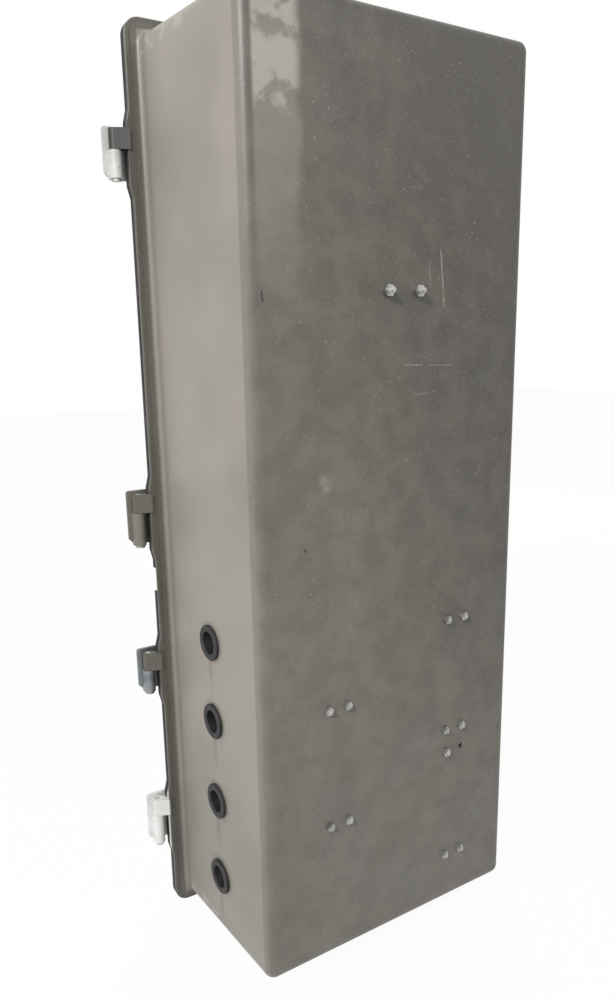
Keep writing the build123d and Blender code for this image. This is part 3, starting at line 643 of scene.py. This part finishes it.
@dataclass(frozen=True)
class BodyPaint:
    """Olive grey paint with a semi gloss, aged by handling and storage, with painted shade, sheen
    and edge highlights.

    Spans are in millimetres along X, Y or Z, or aside of or upright from the box's middle.
    """

    name: str = "body_paint"
    plain: Colour = tone(147, 142, 132)
    warm: Colour = tone(149, 141, 131)
    cool: Colour = tone(143, 142, 132)
    # dark tone, used for dirt and for painted shade
    dark_tone: Colour = tone(74, 71, 64)
    # whether the paint gets dirt and wear, and painted shade, sheen and edge highlights
    aged_with_painted_light: bool = True
    pale: tuple[Scuff, ...] = (
        Scuff((-44.9, 37.4), (-49.7, -13.2), 0.9, 0.5),
        Scuff((-31.0, 26.0), (-33.0, 4.0), 0.6, 0.3),
        Scuff((-3.6, -67.1), (-24.0, -67.8), 0.5, 0.55),
        Scuff((-33.0, -68.0), (-58.7, -68.8), 0.5, 0.4),
        Scuff((-12.0, -96.0), (-40.0, -93.0), 0.5, 0.25),
        Scuff((87.5, -168.0), (84.5, -173.0), 5.5, 0.28),
        Scuff((64.9, -201.8), (48.0, -206.0), 12.0, 0.10),
        Scuff((60.0, -290.0), (66.0, -318.0), 14.0, 0.10),
    )
    dark: tuple[Scuff, ...] = (
        Scuff((145.4, -3.0), (144.2, -10.5), 0.9, 0.85),
        Scuff((108.8, -228.8), (108.3, -230.1), 1.2, 0.8),
        Scuff((10.0, 4.0), (-14.0, 20.0), 0.4, 0.15),
    )
    clouds: Cloud = Cloud(5.0, 3.0, 0.55, (0.40, 0.66))
    hues: Cloud = Cloud(9.0, 2.0, 0.5, (0.42, 0.62))
    grain: Cloud = Cloud(320.0, 3.0, 0.6)
    swell: Cloud = Cloud(14.0, 2.0, 0.45)
    specks: Cloud = Cloud(520.0, 1.0, 0.5, (0.70, 0.76), 0.35)
    mottle: Cloud = Cloud(38.0, 4.0, 0.62, (0.30, 0.70), 0.16)
    breaks: Cloud = Cloud(160.0, 2.0, 0.6, (0.36, 0.60), 0.65)
    # patches of rubbed wear on the corners, which also carry a painted edge highlight
    rub_and_highlight_patches: Cloud = Cloud(60.0, 3.0, 0.6, (0.50, 0.62), 0.45)
    wander: Cloud = Cloud(22.0, 2.0, 0.5)
    sheen_blotches: Cloud = Cloud(48.0, 3.0, 0.55, (0.40, 0.54), 0.44)
    streaks: Cloud = Cloud(1.0, 3.0, 0.6, (0.30, 0.62), 0.5, (90.0, 260.0, 16.0))
    evened: float = 0.45  # share of the plain colour
    clouded: float = 0.22
    roughness: float = 0.34
    cloud_roughness: float = 0.16
    chalk_roughness: float = 0.2
    grain_share: float = 0.015  # of the bumps, beside the swell
    bump_depth: float = 1.2
    back_y: Span = (-12.5, -6.5)
    # painted shade that darkens the back panel, with a random mottle
    back_painted_shade: float = 0.52
    back_shade_limit: float = 0.95
    back_shade_gradient: Span = (-340.0, 260.0, 0.40)  # painted shade, growing across the back panel from its low +X corner
    back_shade_slope: float = 0.5
    flange_y: Span = (-188.0, -190.5)
    flange_aside: Span = (168.5, 171.0)
    flange_upright: Span = (463.5, 466.0)
    # dirt and painted shade on the flange's rear
    flange_dirt_and_shade: float = 0.62
    flange_clouds: float = 0.4
    flange_limit: float = 0.85
    # painted shade: darker towards the bottom, in the walls' root by the flange and on the
    # rounded edge beside the back panel
    foot_shade_z: Span = (-250.0, -660.0, 0.12)
    root_shade_y: Span = (-172.0, -186.0, 0.3)  # where the walls meet the flange
    roll_shade_y: Span = (-17.0, -12.5, 0.38)  # rounded edge beside the back panel
    roll_shade_x: Span = (144.0, 149.0)
    nick_y: Span = (-14.0, -10.0)
    whole_chalk: float = 0.35  # chalk that the breaks leave
    # corners with rubbed wear and a painted edge highlight
    corner_aside: Span = (144.0, 150.0)
    corner_upright: Span = (438.0, 444.0)
    ear_x: Span = (185.5, 188.0)
    top_ear_z: Span = (120.0, 130.0, 0.95)
    lowest_ear_z: Span = (-530.0, -540.0, 0.9)
    # painted sheen beside the back panel's upper edge, and a faint one below
    sheen_wander: float = 16.0
    sheen_x: Span = (109.0, 121.0)
    sheen_edge_x: Span = (150.0, 146.0)
    sheen_z: Span = (120.0, 150.0)
    plain_sheen: float = 0.26
    faint_sheen_z: Span = (-60.0, 150.0, 0.26)
    wall_x: Span = (142.0, 150.0)
    hole_halo: Span = (25.0, 17.5, 0.35)  # from the hole's middle
    run_aside: float = 1.5  # dirty run's middle, towards the flange
    run_width: Span = (7.0, 1.0)
    run_foot: Span = (-72.0, -20.0)  # below the hole's middle
    run_head: Span = (-12.0, -18.0)

    def material(self) -> bpy.types.Material:
        """Builds the paint.

        Returns:
            The material.
        """
        paint = Shader(self.name)
        clouds, grain = paint.noise(self.clouds), paint.noise(self.grain)
        colour = paint.blend(paint.patches(self.hues), self.warm, self.cool)
        colour = paint.blend(self.evened, colour, self.plain)
        darker = paint.blend(self.clouded, colour, self.dark_tone)
        colour = paint.blend(clouds.patches(self.clouds), colour, darker)
        rough = self.roughness + clouds * self.cloud_roughness
        if self.aged_with_painted_light:
            colour = self.dirt_shade_and_sheen(paint, colour, clouds)
            colour, chalk = self.wear_and_highlight(paint, colour)
            rough = rough + chalk * self.chalk_roughness
        swell = paint.noise(self.swell) * (1 - self.grain_share)
        normal = paint.bump(swell + grain * self.grain_share, self.bump_depth * MM, 0.5)
        colour = paint.blend(paint.patches(self.specks), colour, Wear.CHALK.value)
        return paint.close(Base_Color=colour, Roughness=rough, Normal=normal)

    def dirt_shade_and_sheen(self, paint: Shader, colour: Field, clouds: Field) -> Field:
        """Adds dirt and painted shade on the flange, painted shade on the back panel and the
        walls, and a painted sheen on the back panel.

        Args:
            paint: The shader.
            colour: The paint's colour so far.
            clouds: The paint's clouds.

        Returns:
            The colour with dirt, painted shade and painted sheen.
        """
        x, y, z = paint.axes()
        back = y.step(*self.back_y)
        aside = abs(x - MIDDLE_X * MM).step(*self.flange_aside)
        upright = abs(z - MIDDLE_Z * MM).step(*self.flange_upright)
        # dirt and painted shade on the flange's rear
        darkening = y.step(*self.flange_y) * aside.larger(upright)
        darkening = darkening * (self.flange_dirt_and_shade + clouds * self.flange_clouds)
        colour = paint.blend(darkening.smaller(self.flange_limit), colour, self.dark_tone)
        # painted shade over the back panel: an even share, a gradient and a random mottle
        back_shade_gradient = (x * -1.0 + z * self.back_shade_slope).step(*self.back_shade_gradient)
        darkening = back * (self.back_painted_shade + back_shade_gradient + paint.patches(self.mottle))
        colour = paint.blend(darkening.smaller(self.back_shade_limit), colour, self.dark_tone)
        # painted sheen on the back panel, in the chalk tone
        colour = paint.blend(self.painted_sheen(paint) * back, colour, Wear.CHALK.value)
        # painted shade on the walls, kept off the back panel
        roll_shade = y.step(*self.roll_shade_y) * x.step(*self.roll_shade_x)
        painted_shade = strongest((z.step(*self.foot_shade_z), y.step(*self.root_shade_y), roll_shade)) * (1 - back)
        colour = paint.blend(painted_shade, colour, self.dark_tone)
        return self.stains(paint, self.ears(paint, colour))

    def wear_and_highlight(self, paint: Shader, colour: Field) -> tuple[Field, Field]:
        """Adds chalky marks, nicks, and rubbed corners that also carry a painted edge highlight.

        Args:
            paint: The shader.
            colour: The paint's colour so far.

        Returns:
            The worn colour with its painted edge highlight, and how chalky the marks are.
        """
        x, y, z = paint.axes()
        broken = self.whole_chalk + paint.patches(self.breaks)
        chalk = strongest([mark.spot(x, z) for mark in self.pale])
        chalk = chalk * y.step(*self.back_y) * broken
        colour = paint.blend(chalk, colour, Wear.CHALK.value)
        nicks = strongest([mark.spot(x, z) for mark in self.dark]) * y.step(*self.nick_y)
        colour = paint.blend(nicks, colour, Wear.NICK.value)
        # rubbed wear and a painted edge highlight on the corners, in the chalk tone
        aside = abs(x - MIDDLE_X * MM).step(*self.corner_aside)
        upright = abs(z - MIDDLE_Z * MM).step(*self.corner_upright)
        corner = aside * upright * (1 - y.step(*self.flange_y))
        rub_and_highlight = corner * paint.patches(self.rub_and_highlight_patches)
        return paint.blend(rub_and_highlight, colour, Wear.CHALK.value), chalk

    def ears(self, paint: Shader, colour: Field) -> Field:
        """Darkens the top hinge's ear and lightens the lowest one.

        Args:
            paint: The shader.
            colour: The paint's colour so far.

        Returns:
            The changed colour.
        """
        x, _, z = paint.axes()
        reach = x.step(*self.ear_x)
        colour = paint.blend(reach * z.step(*self.top_ear_z), colour, Wear.NICK.value)
        return paint.blend(reach * z.step(*self.lowest_ear_z), colour, Wear.WHITE.value)

    def painted_sheen(self, paint: Shader) -> Field:
        """Painted sheen: a pale, blotchy reflection beside the back panel's upper edge, and a
        faint one below it.

        Args:
            paint: The shader.

        Returns:
            How strong the painted sheen is at the point.
        """
        x, _, z = paint.axes()
        side = x + paint.noise(self.wander) * (self.sheen_wander * MM)
        strip = side.step(*self.sheen_x) * x.step(*self.sheen_edge_x)
        upper = z.step(*self.sheen_z) * (self.plain_sheen + paint.patches(self.sheen_blotches))
        return strip * upper.larger(z.step(*self.faint_sheen_z))

    def stains(self, paint: Shader, colour: Field) -> Field:
        """Adds dirt round the cable holes and the runs below them.

        Args:
            paint: The shader.
            colour: The paint's colour so far.

        Returns:
            The stained colour.
        """
        x, y, z = paint.axes()
        streaky = paint.patches(self.streaks)
        side = y - HOLE_Y * MM
        across = abs(side + self.run_aside * MM).step(*self.run_width)
        spots = []
        for height in HOLE_HEIGHTS:
            drop = z - (height + LOWER_EDGE) * MM
            halo = ((side * side + drop * drop) ** 0.5).step(*self.hole_halo)
            run = across * drop.step(*self.run_foot) * drop.step(*self.run_head) * streaky
            spots.append(halo.larger(run))
        return paint.blend(strongest(spots) * x.step(*self.wall_x), colour, self.dark_tone)


@dataclass(frozen=True)
class BlackRubber:
    """Black rubber with a dull bloom."""

    name: str = "black_rubber"
    colour: Colour = tone(30, 30, 31)
    bloom: Colour = tone(66, 65, 64)
    roughness: float = 0.5
    dust: Cloud = Cloud(45.0, 4.0, 0.6, (0.45, 0.75), 0.5)
    grain: Cloud = Cloud(600.0, 2.0, 0.5)

    def material(self) -> bpy.types.Material:
        """Builds the rubber.

        Returns:
            The material.
        """
        rubber = Shader(self.name)
        dust = rubber.noise(self.dust)
        return rubber.close(
            Base_Color=rubber.blend(dust.patches(self.dust), self.colour, self.bloom),
            Roughness=self.roughness + dust * 0.2,
            Normal=rubber.bump(rubber.noise(self.grain), 0.06 * MM, 0.6),
        )


@dataclass(frozen=True)
class PlatedMetal:
    """Bare or plated metal with a grain, and a little tarnish."""

    name: str
    colour: Colour
    tarnish: Colour
    roughness: float = 0.34
    grain: Cloud = Cloud(500.0, 3.0, 0.6)
    tarnished: float = 0.4
    clouds: Cloud = Cloud(40.0, 3.0, 0.6, (0.42, 0.72))

    def material(self) -> bpy.types.Material:
        """Builds the metal.

        Returns:
            The material.
        """
        metal = Shader(self.name)
        grains = metal.noise(self.grain)
        share = metal.patches(self.clouds) * self.tarnished + grains * 0.15
        return metal.close(
            Base_Color=metal.blend(share, self.colour, self.tarnish),
            Metallic=1.0,
            Roughness=self.roughness + grains * 0.18,
            Normal=metal.bump(grains, 0.05 * MM, 0.5),
        )


@dataclass(frozen=True)
class HingePaint:
    """Pale paint on a hinge leaf, grey with patches of dirt."""

    name: str
    colour: Colour
    dark_tone: Colour
    clouds: Cloud = Cloud(70.0, 4.0, 0.6, (0.48, 0.70), 0.35)
    grain: Cloud = Cloud(450.0, 2.0, 0.5)

    def material(self) -> bpy.types.Material:
        """Builds the paint.

        Returns:
            The material.
        """
        paint = Shader(self.name)
        cloud = paint.noise(self.clouds)
        return paint.close(
            Base_Color=paint.blend(cloud.patches(self.clouds), self.colour, self.dark_tone),
            Roughness=0.38 + cloud * 0.15,
            Normal=paint.bump(paint.noise(self.grain), 0.05 * MM, 0.5),
        )


@dataclass(frozen=True)
class MouldedResin:
    """Moulded thermoset, slightly mottled."""

    name: str
    colour: Colour
    mottle: Colour
    roughness: float = 0.5
    flecks: Cloud = Cloud(220.0, 3.0, 0.65, (0.50, 0.68), 0.5)
    clouds: Cloud = Cloud(20.0, 2.0, 0.5, (0.45, 0.70), 0.25)
    grain: Cloud = Cloud(900.0, 2.0, 0.5)

    def material(self) -> bpy.types.Material:
        """Builds the resin.

        Returns:
            The material.
        """
        resin = Shader(self.name)
        flecks = resin.noise(self.flecks)
        colour = resin.blend(flecks.patches(self.flecks), self.colour, self.mottle)
        colour = resin.blend(resin.patches(self.clouds), colour, self.mottle)
        return resin.close(
            Base_Color=colour,
            Roughness=self.roughness + flecks * 0.12,
            Normal=resin.bump(resin.noise(self.grain), 0.05 * MM, 0.6),
        )


class Finishes:
    """Every finish of the box, built once."""

    def __init__(self) -> None:
        """Builds them all."""
        self.body = BodyPaint().material()
        self.door = BodyPaint(name="door_paint", aged_with_painted_light=False).material()
        self.gasket = BlackRubber(name="gasket_foam", roughness=0.7).material()
        self.grommet = BlackRubber(name="grommet_rubber", bloom=tone(58, 58, 60)).material()
        zinc, dull = tone(188, 188, 184), tone(118, 116, 110)
        self.zinc = PlatedMetal("zinc_plate", zinc, dull).material()
        self.galvanised = PlatedMetal(
            "galvanised_sheet",
            tone(160, 164, 166),
            tone(104, 108, 110),
            roughness=0.42,
            grain=Cloud(90.0, 3.0, 0.6),
            tarnished=0.6,
        ).material()
        self.chrome = PlatedMetal(
            "satin_chrome",
            tone(204, 204, 202),
            tone(150, 148, 144),
            roughness=0.22,
            grain=Cloud(700.0, 3.0, 0.6),
            tarnished=0.2,
        ).material()
        self.copper = PlatedMetal(
            "bare_copper",
            tone(214, 142, 108),
            tone(128, 78, 58),
            roughness=0.30,
            grain=Cloud(500.0, 3.0, 0.6, stretch=(1, 1, 0.04)),
            tarnished=0.5,
        ).material()
        pale = HingePaint("pale_hinge", tone(196, 197, 194), tone(136, 136, 132))
        white = HingePaint("white_hinge", tone(226, 228, 225), tone(180, 181, 178))
        grey = HingePaint("grey_hinge", tone(112, 109, 99), tone(70, 68, 61))
        self.pale_leaf, self.white_leaf, self.grey_leaf = (
            paint.material() for paint in (pale, white, grey)
        )
        support = MouldedResin("red_brown_resin", tone(128, 52, 40), tone(90, 34, 28))
        case = MouldedResin("breaker_case", tone(62, 63, 66), tone(46, 47, 50), 0.45)
        trim = MouldedResin("breaker_trim", tone(150, 152, 150), tone(128, 130, 128), 0.42)
        lever = MouldedResin("toggle_black", tone(24, 24, 25), tone(38, 38, 39))
        signal = MouldedResin("signal_red", tone(176, 34, 28), tone(140, 24, 22))
        self.support, self.case, self.trim, self.lever, self.signal = (
            resin.material() for resin in (support, case, trim, lever, signal)
        )


@dataclass
class Tub:
    """The moulded tub with its divider, gaskets and grommets."""

    finishes: Finishes
    holes: tuple[str, ...] = tuple(f"cable_grommet_{number}" for number in range(1, 5))

    def build(self) -> None:
        """Dresses the tub, the divider, the gaskets and the grommets."""
        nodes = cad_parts
        dress(nodes["tub"], self.finishes.body)
        dress(nodes["divider"], self.finishes.door)
        for name in ("upper_gasket", "lower_gasket"):
            dress(nodes[name], self.finishes.gasket)
        for name in self.holes:
            dress(nodes[name], self.finishes.grommet)
        log.info("tub: dressed, with %d grommets", len(self.holes))


@dataclass(frozen=True)
class Screw:
    """Sizes of a threaded screw that points to the rear, in millimetres."""

    head_radius: float
    head_height: float
    head_sides: int
    radius: float
    pitch: float
    under_head: float  # Y of the head's underside
    tip: float  # Y of the tip
    threaded: float  # Y where the visible thread starts
    root_depth: float = 0.6  # of the thread, in pitches
    head_edge: float = 0.4
    tip_edge: float = 0.3


@dataclass
class Fasteners:
    """Studs, screws, nuts and rivets, with threads on those that stand out of the back."""

    finishes: Finishes
    stud: Screw = Screw(5.77, 4.0, 6, 3.0, 1.0, -31.0, 6.0, -0.6)
    fixing: Screw = Screw(4.25, 3.5, 24, 2.5, 0.8, -23.0, 2.0, -1.6)
    stud_places: tuple[Pair, ...] = ((-17.5, 0.0), (17.5, 0.0))
    breaker_places: tuple[Pair, ...] = (
        (75.5, -454.5),
        (-71.5, -392.5),
        (-73.5, -544.5),
    )
    fixing_spacing: Pair = (22.0, 125.0)
    lost: Pair = (-84.5, -482.0)  # the empty hole
    plain: tuple[str, ...] = (
        "hinge_pins", "keeper_rivets", "hanging_nuts", "plate_spacers", "support_screws",
        "busbar_screws", "busbar_bolts", "busbar_nuts", "breaker_nuts", "terminal_screws",
        "upper_leaf_screws", "lower_leaf_screws",
    )

    def build(self) -> None:
        """Dresses the fasteners and replaces those with threads in view."""
        for name in self.plain:
            dress(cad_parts[name], self.finishes.zinc)
        self.group("hanging_studs", self.stud, self.stud_places)
        across, along = (value / 2 for value in self.fixing_spacing)
        places = [
            (x + side * across, z + end * along)
            for x, z in self.breaker_places
            for side, end in CORNERS
        ]
        self.group("breaker_screws", self.fixing, [p for p in places if p != self.lost])
        log.info("fasteners: %d groups dressed", len(self.plain) + 2)

    def group(self, node: str, screw: Screw, places: Sequence[Pair]) -> None:
        """Builds equal screws in place of one CAD node.

        Args:
            node: The CAD node that they stand for.
            screw: Their sizes.
            places: Their X and Z, in millimetres.
        """
        first = self.screw(f"{node}_first", screw, places[0])
        pieces = [first]
        for number, (x, z) in enumerate(places[1:], start=2):
            shift = ((x - places[0][0]) * MM, 0, (z - places[0][1]) * MM)
            pieces.append(Bench.copied(first, f"{node}_{number}", shift))
        joined = Bench.join(f"{node}_threaded", pieces)
        dress(joined, self.finishes.zinc)
        Bench.smooth(joined)
        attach(joined, "box")
        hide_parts(node)

    @staticmethod
    def screw(name: str, screw: Screw, place: Pair) -> bpy.types.Object:
        """One screw: its head, its shank and the ridge of its thread.

        Args:
            name: The piece's name.
            screw: Its sizes.
            place: Its X and Z, in millimetres.

        Returns:
            The screw.
        """
        x, z = place[0] * MM, place[1] * MM
        head = Bench.disc(
            f"{name}_head",
            (x, (screw.under_head - screw.head_height / 2) * MM, z),
            screw.head_radius * MM,
            screw.head_height * MM,
            axis=FORWARD,
            sides=screw.head_sides,
            edge=screw.head_edge * MM,
        )
        length = screw.tip - screw.under_head
        shank = Bench.disc(
            f"{name}_shank",
            (x, (screw.under_head + length / 2) * MM, z),
            (screw.radius - screw.root_depth * screw.pitch) * MM,
            length * MM,
            sides=20,
            edge=screw.tip_edge * MM,
        )
        turns = int((screw.tip - screw.threaded) / screw.pitch)
        start = (x, (screw.tip - screw.tip_edge - (turns + 1) * screw.pitch) * MM, z)
        ridge = Bench.thread(
            f"{name}_ridge", start, screw.radius * MM, screw.pitch * MM, turns
        )
        return Bench.join(name, [head, shank, ridge])


@dataclass
class Hinges:
    """Four hinges: their leaves on the doors and a small rivet in each knuckle."""

    finishes: Finishes
    axis: Pair = HINGE_AXIS
    barrel: float = 6.3
    rivet_rise: float = 11.0  # above the leaf's foot
    rivet_radius: float = 1.6
    rivet_height: float = 1.0
    rivet_edge: float = 0.4

    def build(self) -> None:
        """Dresses the leaves and adds the rivets."""
        looks = {
            "upper_hinge_leaf_top": (self.finishes.pale_leaf, "upper_door"),
            "upper_hinge_leaf_bottom": (self.finishes.grey_leaf, "upper_door"),
            "lower_hinge_leaf_top": (self.finishes.galvanised, "lower_door"),
            "lower_hinge_leaf_bottom": (self.finishes.white_leaf, "lower_door"),
        }
        for name, (finish, body) in looks.items():
            dress(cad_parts[name], finish)
            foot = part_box(name)[0].z
            rivet = self.rivet(f"{name}_rivet", foot + self.rivet_rise * MM)
            dress(rivet, finish)
            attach(rivet, body)
            log.info("hinge: %s", name)

    def rivet(self, name: str, height: float) -> bpy.types.Object:
        """A small domed rivet on the knuckle's rear.

        Args:
            name: The piece's name.
            height: Its height, in metres.

        Returns:
            The rivet.
        """
        centre = (self.axis[0] * MM, (self.axis[1] + self.barrel) * MM, height)
        size = (self.rivet_radius * MM, self.rivet_height * MM)
        head = Bench.disc(name, centre, *size, sides=16, edge=self.rivet_edge * MM)
        Bench.smooth(head)
        return head


@dataclass
class Doors:
    """Both doors with their locks and keepers."""

    finishes: Finishes
    locks: tuple[int, ...] = (1, 2, 3)

    def build(self) -> None:
        """Dresses the doors, the locks and the keepers."""
        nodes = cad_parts
        for name in ("upper_door", "lower_door"):
            dress(nodes[name], self.finishes.door)
        chrome, zinc, sheet = self.finishes.chrome, self.finishes.zinc, self.finishes.galvanised
        looks = {"body": chrome, "core": chrome, "nut": zinc, "cam": zinc, "keeper": sheet}
        for number, (part, finish) in product(self.locks, looks.items()):
            dress(nodes[f"lock_{part}_{number}"], finish)
        log.info("doors: dressed, with %d locks", len(self.locks))


@dataclass
class Switchgear:
    """Mounting plate, busbars and breakers, with the sizes of the breakers' small parts."""

    finishes: Finishes
    bars: tuple[str, ...] = ("phase_1", "phase_2", "phase_3", "neutral")
    breakers: tuple[str, ...] = (
        "incoming_breaker", "outgoing_breaker_upper", "outgoing_breaker_lower"
    )
    bezel_height: float = 3.0  # in front of the cover
    cover_height: float = 6.0  # in front of the terminals
    sunk: float = 0.1  # how deep small parts are let in
    screw_place: Pair = (30.0, 36.0)  # sideways and upright, from the breaker's middle
    screw_radius: float = 2.6
    screw_height: float = 1.2
    slot_corners: tuple[Point, Point] = ((-3.0, -2.0, -0.35), (3.0, -0.1, 0.35))
    button_place: Pair = (11.5, 18.0)
    button_radius: float = 2.4
    button_height: float = 1.4
    button_edge: float = 0.3
    frame_outside: Pair = (19.0, 27.0)  # half width and half height
    frame_inside: Pair = (15.4, 23.4)
    frame_height: float = 0.8
    frame_edge: float = 0.2
    barrier_aside: float = 11.0
    barrier_ends: Pair = (43.0, 56.0)
    barrier_half_width: float = 1.0
    barrier_height: float = 3.0
    barrier_edge: float = 0.3

    def build(self) -> None:
        """Dresses the switchgear and adds the breakers' small parts."""
        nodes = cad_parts
        dress(nodes["mounting_plate"], self.finishes.galvanised)
        for name in ("busbar_support_lower", "busbar_support_upper"):
            dress(nodes[name], self.finishes.support)
        for name in self.bars:
            dress(nodes[f"busbar_{name}"], self.finishes.copper)
        for name in self.breakers:
            dress(nodes[name], self.finishes.case)
            dress(nodes[f"{name}_toggle"], self.finishes.lever)
            self.trim(name)
            log.info("breaker: %s", name)

    def trim(self, name: str) -> None:
        """Adds a breaker's cover screws, trip button, pale frame and barriers between its poles.

        Args:
            name: The breaker's node.
        """
        low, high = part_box(name)
        bezel = ((low.x + high.x) / 2, low.y, (low.z + high.z) / 2)
        cover = shifted(bezel, (0, self.bezel_height, 0))
        terminals = shifted(cover, (0, self.cover_height, 0))
        parts = {
            "screws": (self.finishes.zinc, self.cover_screws(cover)),
            "button": (self.finishes.signal, [self.button(bezel)]),
            "trim": (self.finishes.trim, self.frame_strips(cover)),
            "barriers": (self.finishes.case, self.barriers(terminals)),
        }
        for label, (finish, pieces) in parts.items():
            piece = Bench.join(f"{name}_{label}", pieces)
            dress(piece, finish)
            Bench.smooth(piece)
            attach(piece, "box")

    def cover_screws(self, middle: Point) -> list[bpy.types.Object]:
        """Four slotted screws at the cover's corners.

        Args:
            middle: Middle of the cover's face, in metres.

        Returns:
            The screws.
        """
        aside, upright = self.screw_place
        depth = self.sunk - self.screw_height / 2
        screws = []
        for side, end in CORNERS:
            centre = shifted(middle, (side * aside, depth, end * upright))
            size = (self.screw_radius * MM, self.screw_height * MM)
            head = Bench.disc("cover_screw", centre, *size, axis=FORWARD)
            slot = Bench.block("slot", *(shifted(centre, corner) for corner in self.slot_corners))
            Bench.cut(head, slot)
            screws.append(head)
        return screws

    def button(self, middle: Point) -> bpy.types.Object:
        """The trip button beside the toggle.

        Args:
            middle: Middle of the bezel's face, in metres.

        Returns:
            The button.
        """
        aside, rise = self.button_place
        centre = shifted(middle, (aside, self.sunk - self.button_height / 2, rise))
        size = (self.button_radius * MM, self.button_height * MM)
        return Bench.disc("button", centre, *size, axis=FORWARD, edge=self.button_edge * MM)

    def frame_strips(self, middle: Point) -> list[bpy.types.Object]:
        """A pale frame round the bezel, of four strips.

        Args:
            middle: Middle of the cover's face, in metres.

        Returns:
            The strips.
        """
        (out_x, out_z), (in_x, in_z) = self.frame_outside, self.frame_inside
        strips = []
        for side in (-1, 1):
            columns = sorted((side * in_x, side * out_x))
            rows = sorted((side * in_z, side * out_z))
            for label, (left, right), (foot, top) in (
                ("upright", columns, (-out_z, out_z)),
                ("crosspiece", (-in_x, in_x), rows),
            ):
                low = shifted(middle, (left, -self.frame_height, foot))
                high = shifted(middle, (right, 0, top))
                strips.append(Bench.block(label, low, high, self.frame_edge * MM))
        return strips

    def barriers(self, middle: Point) -> list[bpy.types.Object]:
        """Thin ribs between the terminals, at both ends.

        Args:
            middle: Middle of the terminals' face, in metres.

        Returns:
            The ribs.
        """
        half, edge = self.barrier_half_width, self.barrier_edge * MM
        ribs = []
        for side, end in CORNERS:
            column = side * self.barrier_aside
            foot, top = sorted(end * place for place in self.barrier_ends)
            low = shifted(middle, (column - half, -self.barrier_height, foot))
            ribs.append(
                Bench.block("barrier", low, shifted(middle, (column + half, 0, top)), edge)
            )
        return ribs


@dataclass(frozen=True)
class Lamp:
    """A soft rectangular lamp, in metres and watts."""

    name: str
    place: Point
    aim: Point
    size: Pair
    power: float

    def hang(self) -> None:
        """Adds the lamp to the scene."""
        light = bpy.data.lights.new(self.name, "AREA")
        light.shape = "RECTANGLE"
        light.size, light.size_y = self.size
        light.energy = self.power
        lamp = bpy.data.objects.new(self.name, light)
        lamp.location = self.place
        sight = Vector(self.aim) - Vector(self.place)
        lamp.rotation_euler = sight.to_track_quat("-Z", "Y").to_euler()
        bpy.context.scene.collection.objects.link(lamp)


@dataclass
class Studio:
    """Pale floor, soft lamps and the camera that took the picture."""

    floor_height: float = -0.6936
    floor_size: float = 14.0
    floor_white: float = 0.955  # what the camera sees of it
    floor_tone: Colour = (0.9, 0.9, 0.9)
    white: Colour = (1.0, 1.0, 1.0)
    camera_place: Point = (0.44419, 0.56797, -0.04314)
    camera_turn: Point = (78.1642, 1.0443, 149.1938)
    lens: float = 27.368
    sensor_width: float = 36.0
    near: float = 0.01
    fill: float = 0.38
    lamps: tuple[Lamp, ...] = (
        Lamp("key", (1.76, 1.14, 1.22), (0.0, -0.05, -0.1), (0.45, 0.45), 52.0),
        Lamp("front_fill", (-1.6, -2.0, 0.6), (0.0, -0.1, -0.25), (1.6, 1.6), 26.0),
        Lamp("sheen", (-0.73, 1.64, 0.915), (0.125, -0.0065, 0.17), (0.18, 0.40), 2.6),
    )

    def build(self) -> None:
        """Sets up the floor, the world, the lamps and the camera."""
        self.floor()
        self.world()
        for lamp in self.lamps:
            lamp.hang()
        self.camera()

    def floor(self) -> None:
        """Adds the floor, which the camera sees as the white background."""
        Bench.clear()
        place = (0, 0, self.floor_height)
        bpy.ops.mesh.primitive_plane_add(size=self.floor_size, location=place)
        floor = Bench.settle(bpy.context.object, "floor")
        white = Shader("white_floor")
        matte = white.node("ShaderNodeBsdfDiffuse", {}, {"Color": self.floor_tone})
        glow = white.node("ShaderNodeEmission", {}, {"Color": self.white, "Strength": 1.0})
        share = white.seen() * self.floor_white
        mixed = white.node("ShaderNodeMixShader", {}, {0: share, 1: matte, 2: glow})
        dress(floor, white.show(mixed))

    def world(self) -> None:
        """Lights the scene evenly, before a white background."""
        sky = Shader("studio", world=True)
        strength = self.fill + sky.seen() * (1 - self.fill)
        light = sky.node("ShaderNodeBackground", {}, {"Color": self.white, "Strength": strength})
        bpy.context.scene.world = sky.show(light)

    def camera(self) -> None:
        """Puts the camera where the photographer stood."""
        lens = bpy.data.cameras.new("camera")
        lens.sensor_width = self.sensor_width
        lens.lens = self.lens
        lens.clip_start = self.near
        camera = bpy.data.objects.new("camera", lens)
        camera.location = self.camera_place
        camera.rotation_euler = [math.radians(angle) for angle in self.camera_turn]
        bpy.context.scene.collection.objects.link(camera)
        bpy.context.scene.camera = camera


def main() -> None:
    """Builds the box's looks and the studio."""
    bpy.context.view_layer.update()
    bpy.context.scene.view_settings.view_transform = "Standard"
    finishes = Finishes()
    for group in (Tub, Fasteners, Hinges, Doors, Switchgear):
        group(finishes).build()
    Studio().build()


if __name__ == "__main__":
    main()
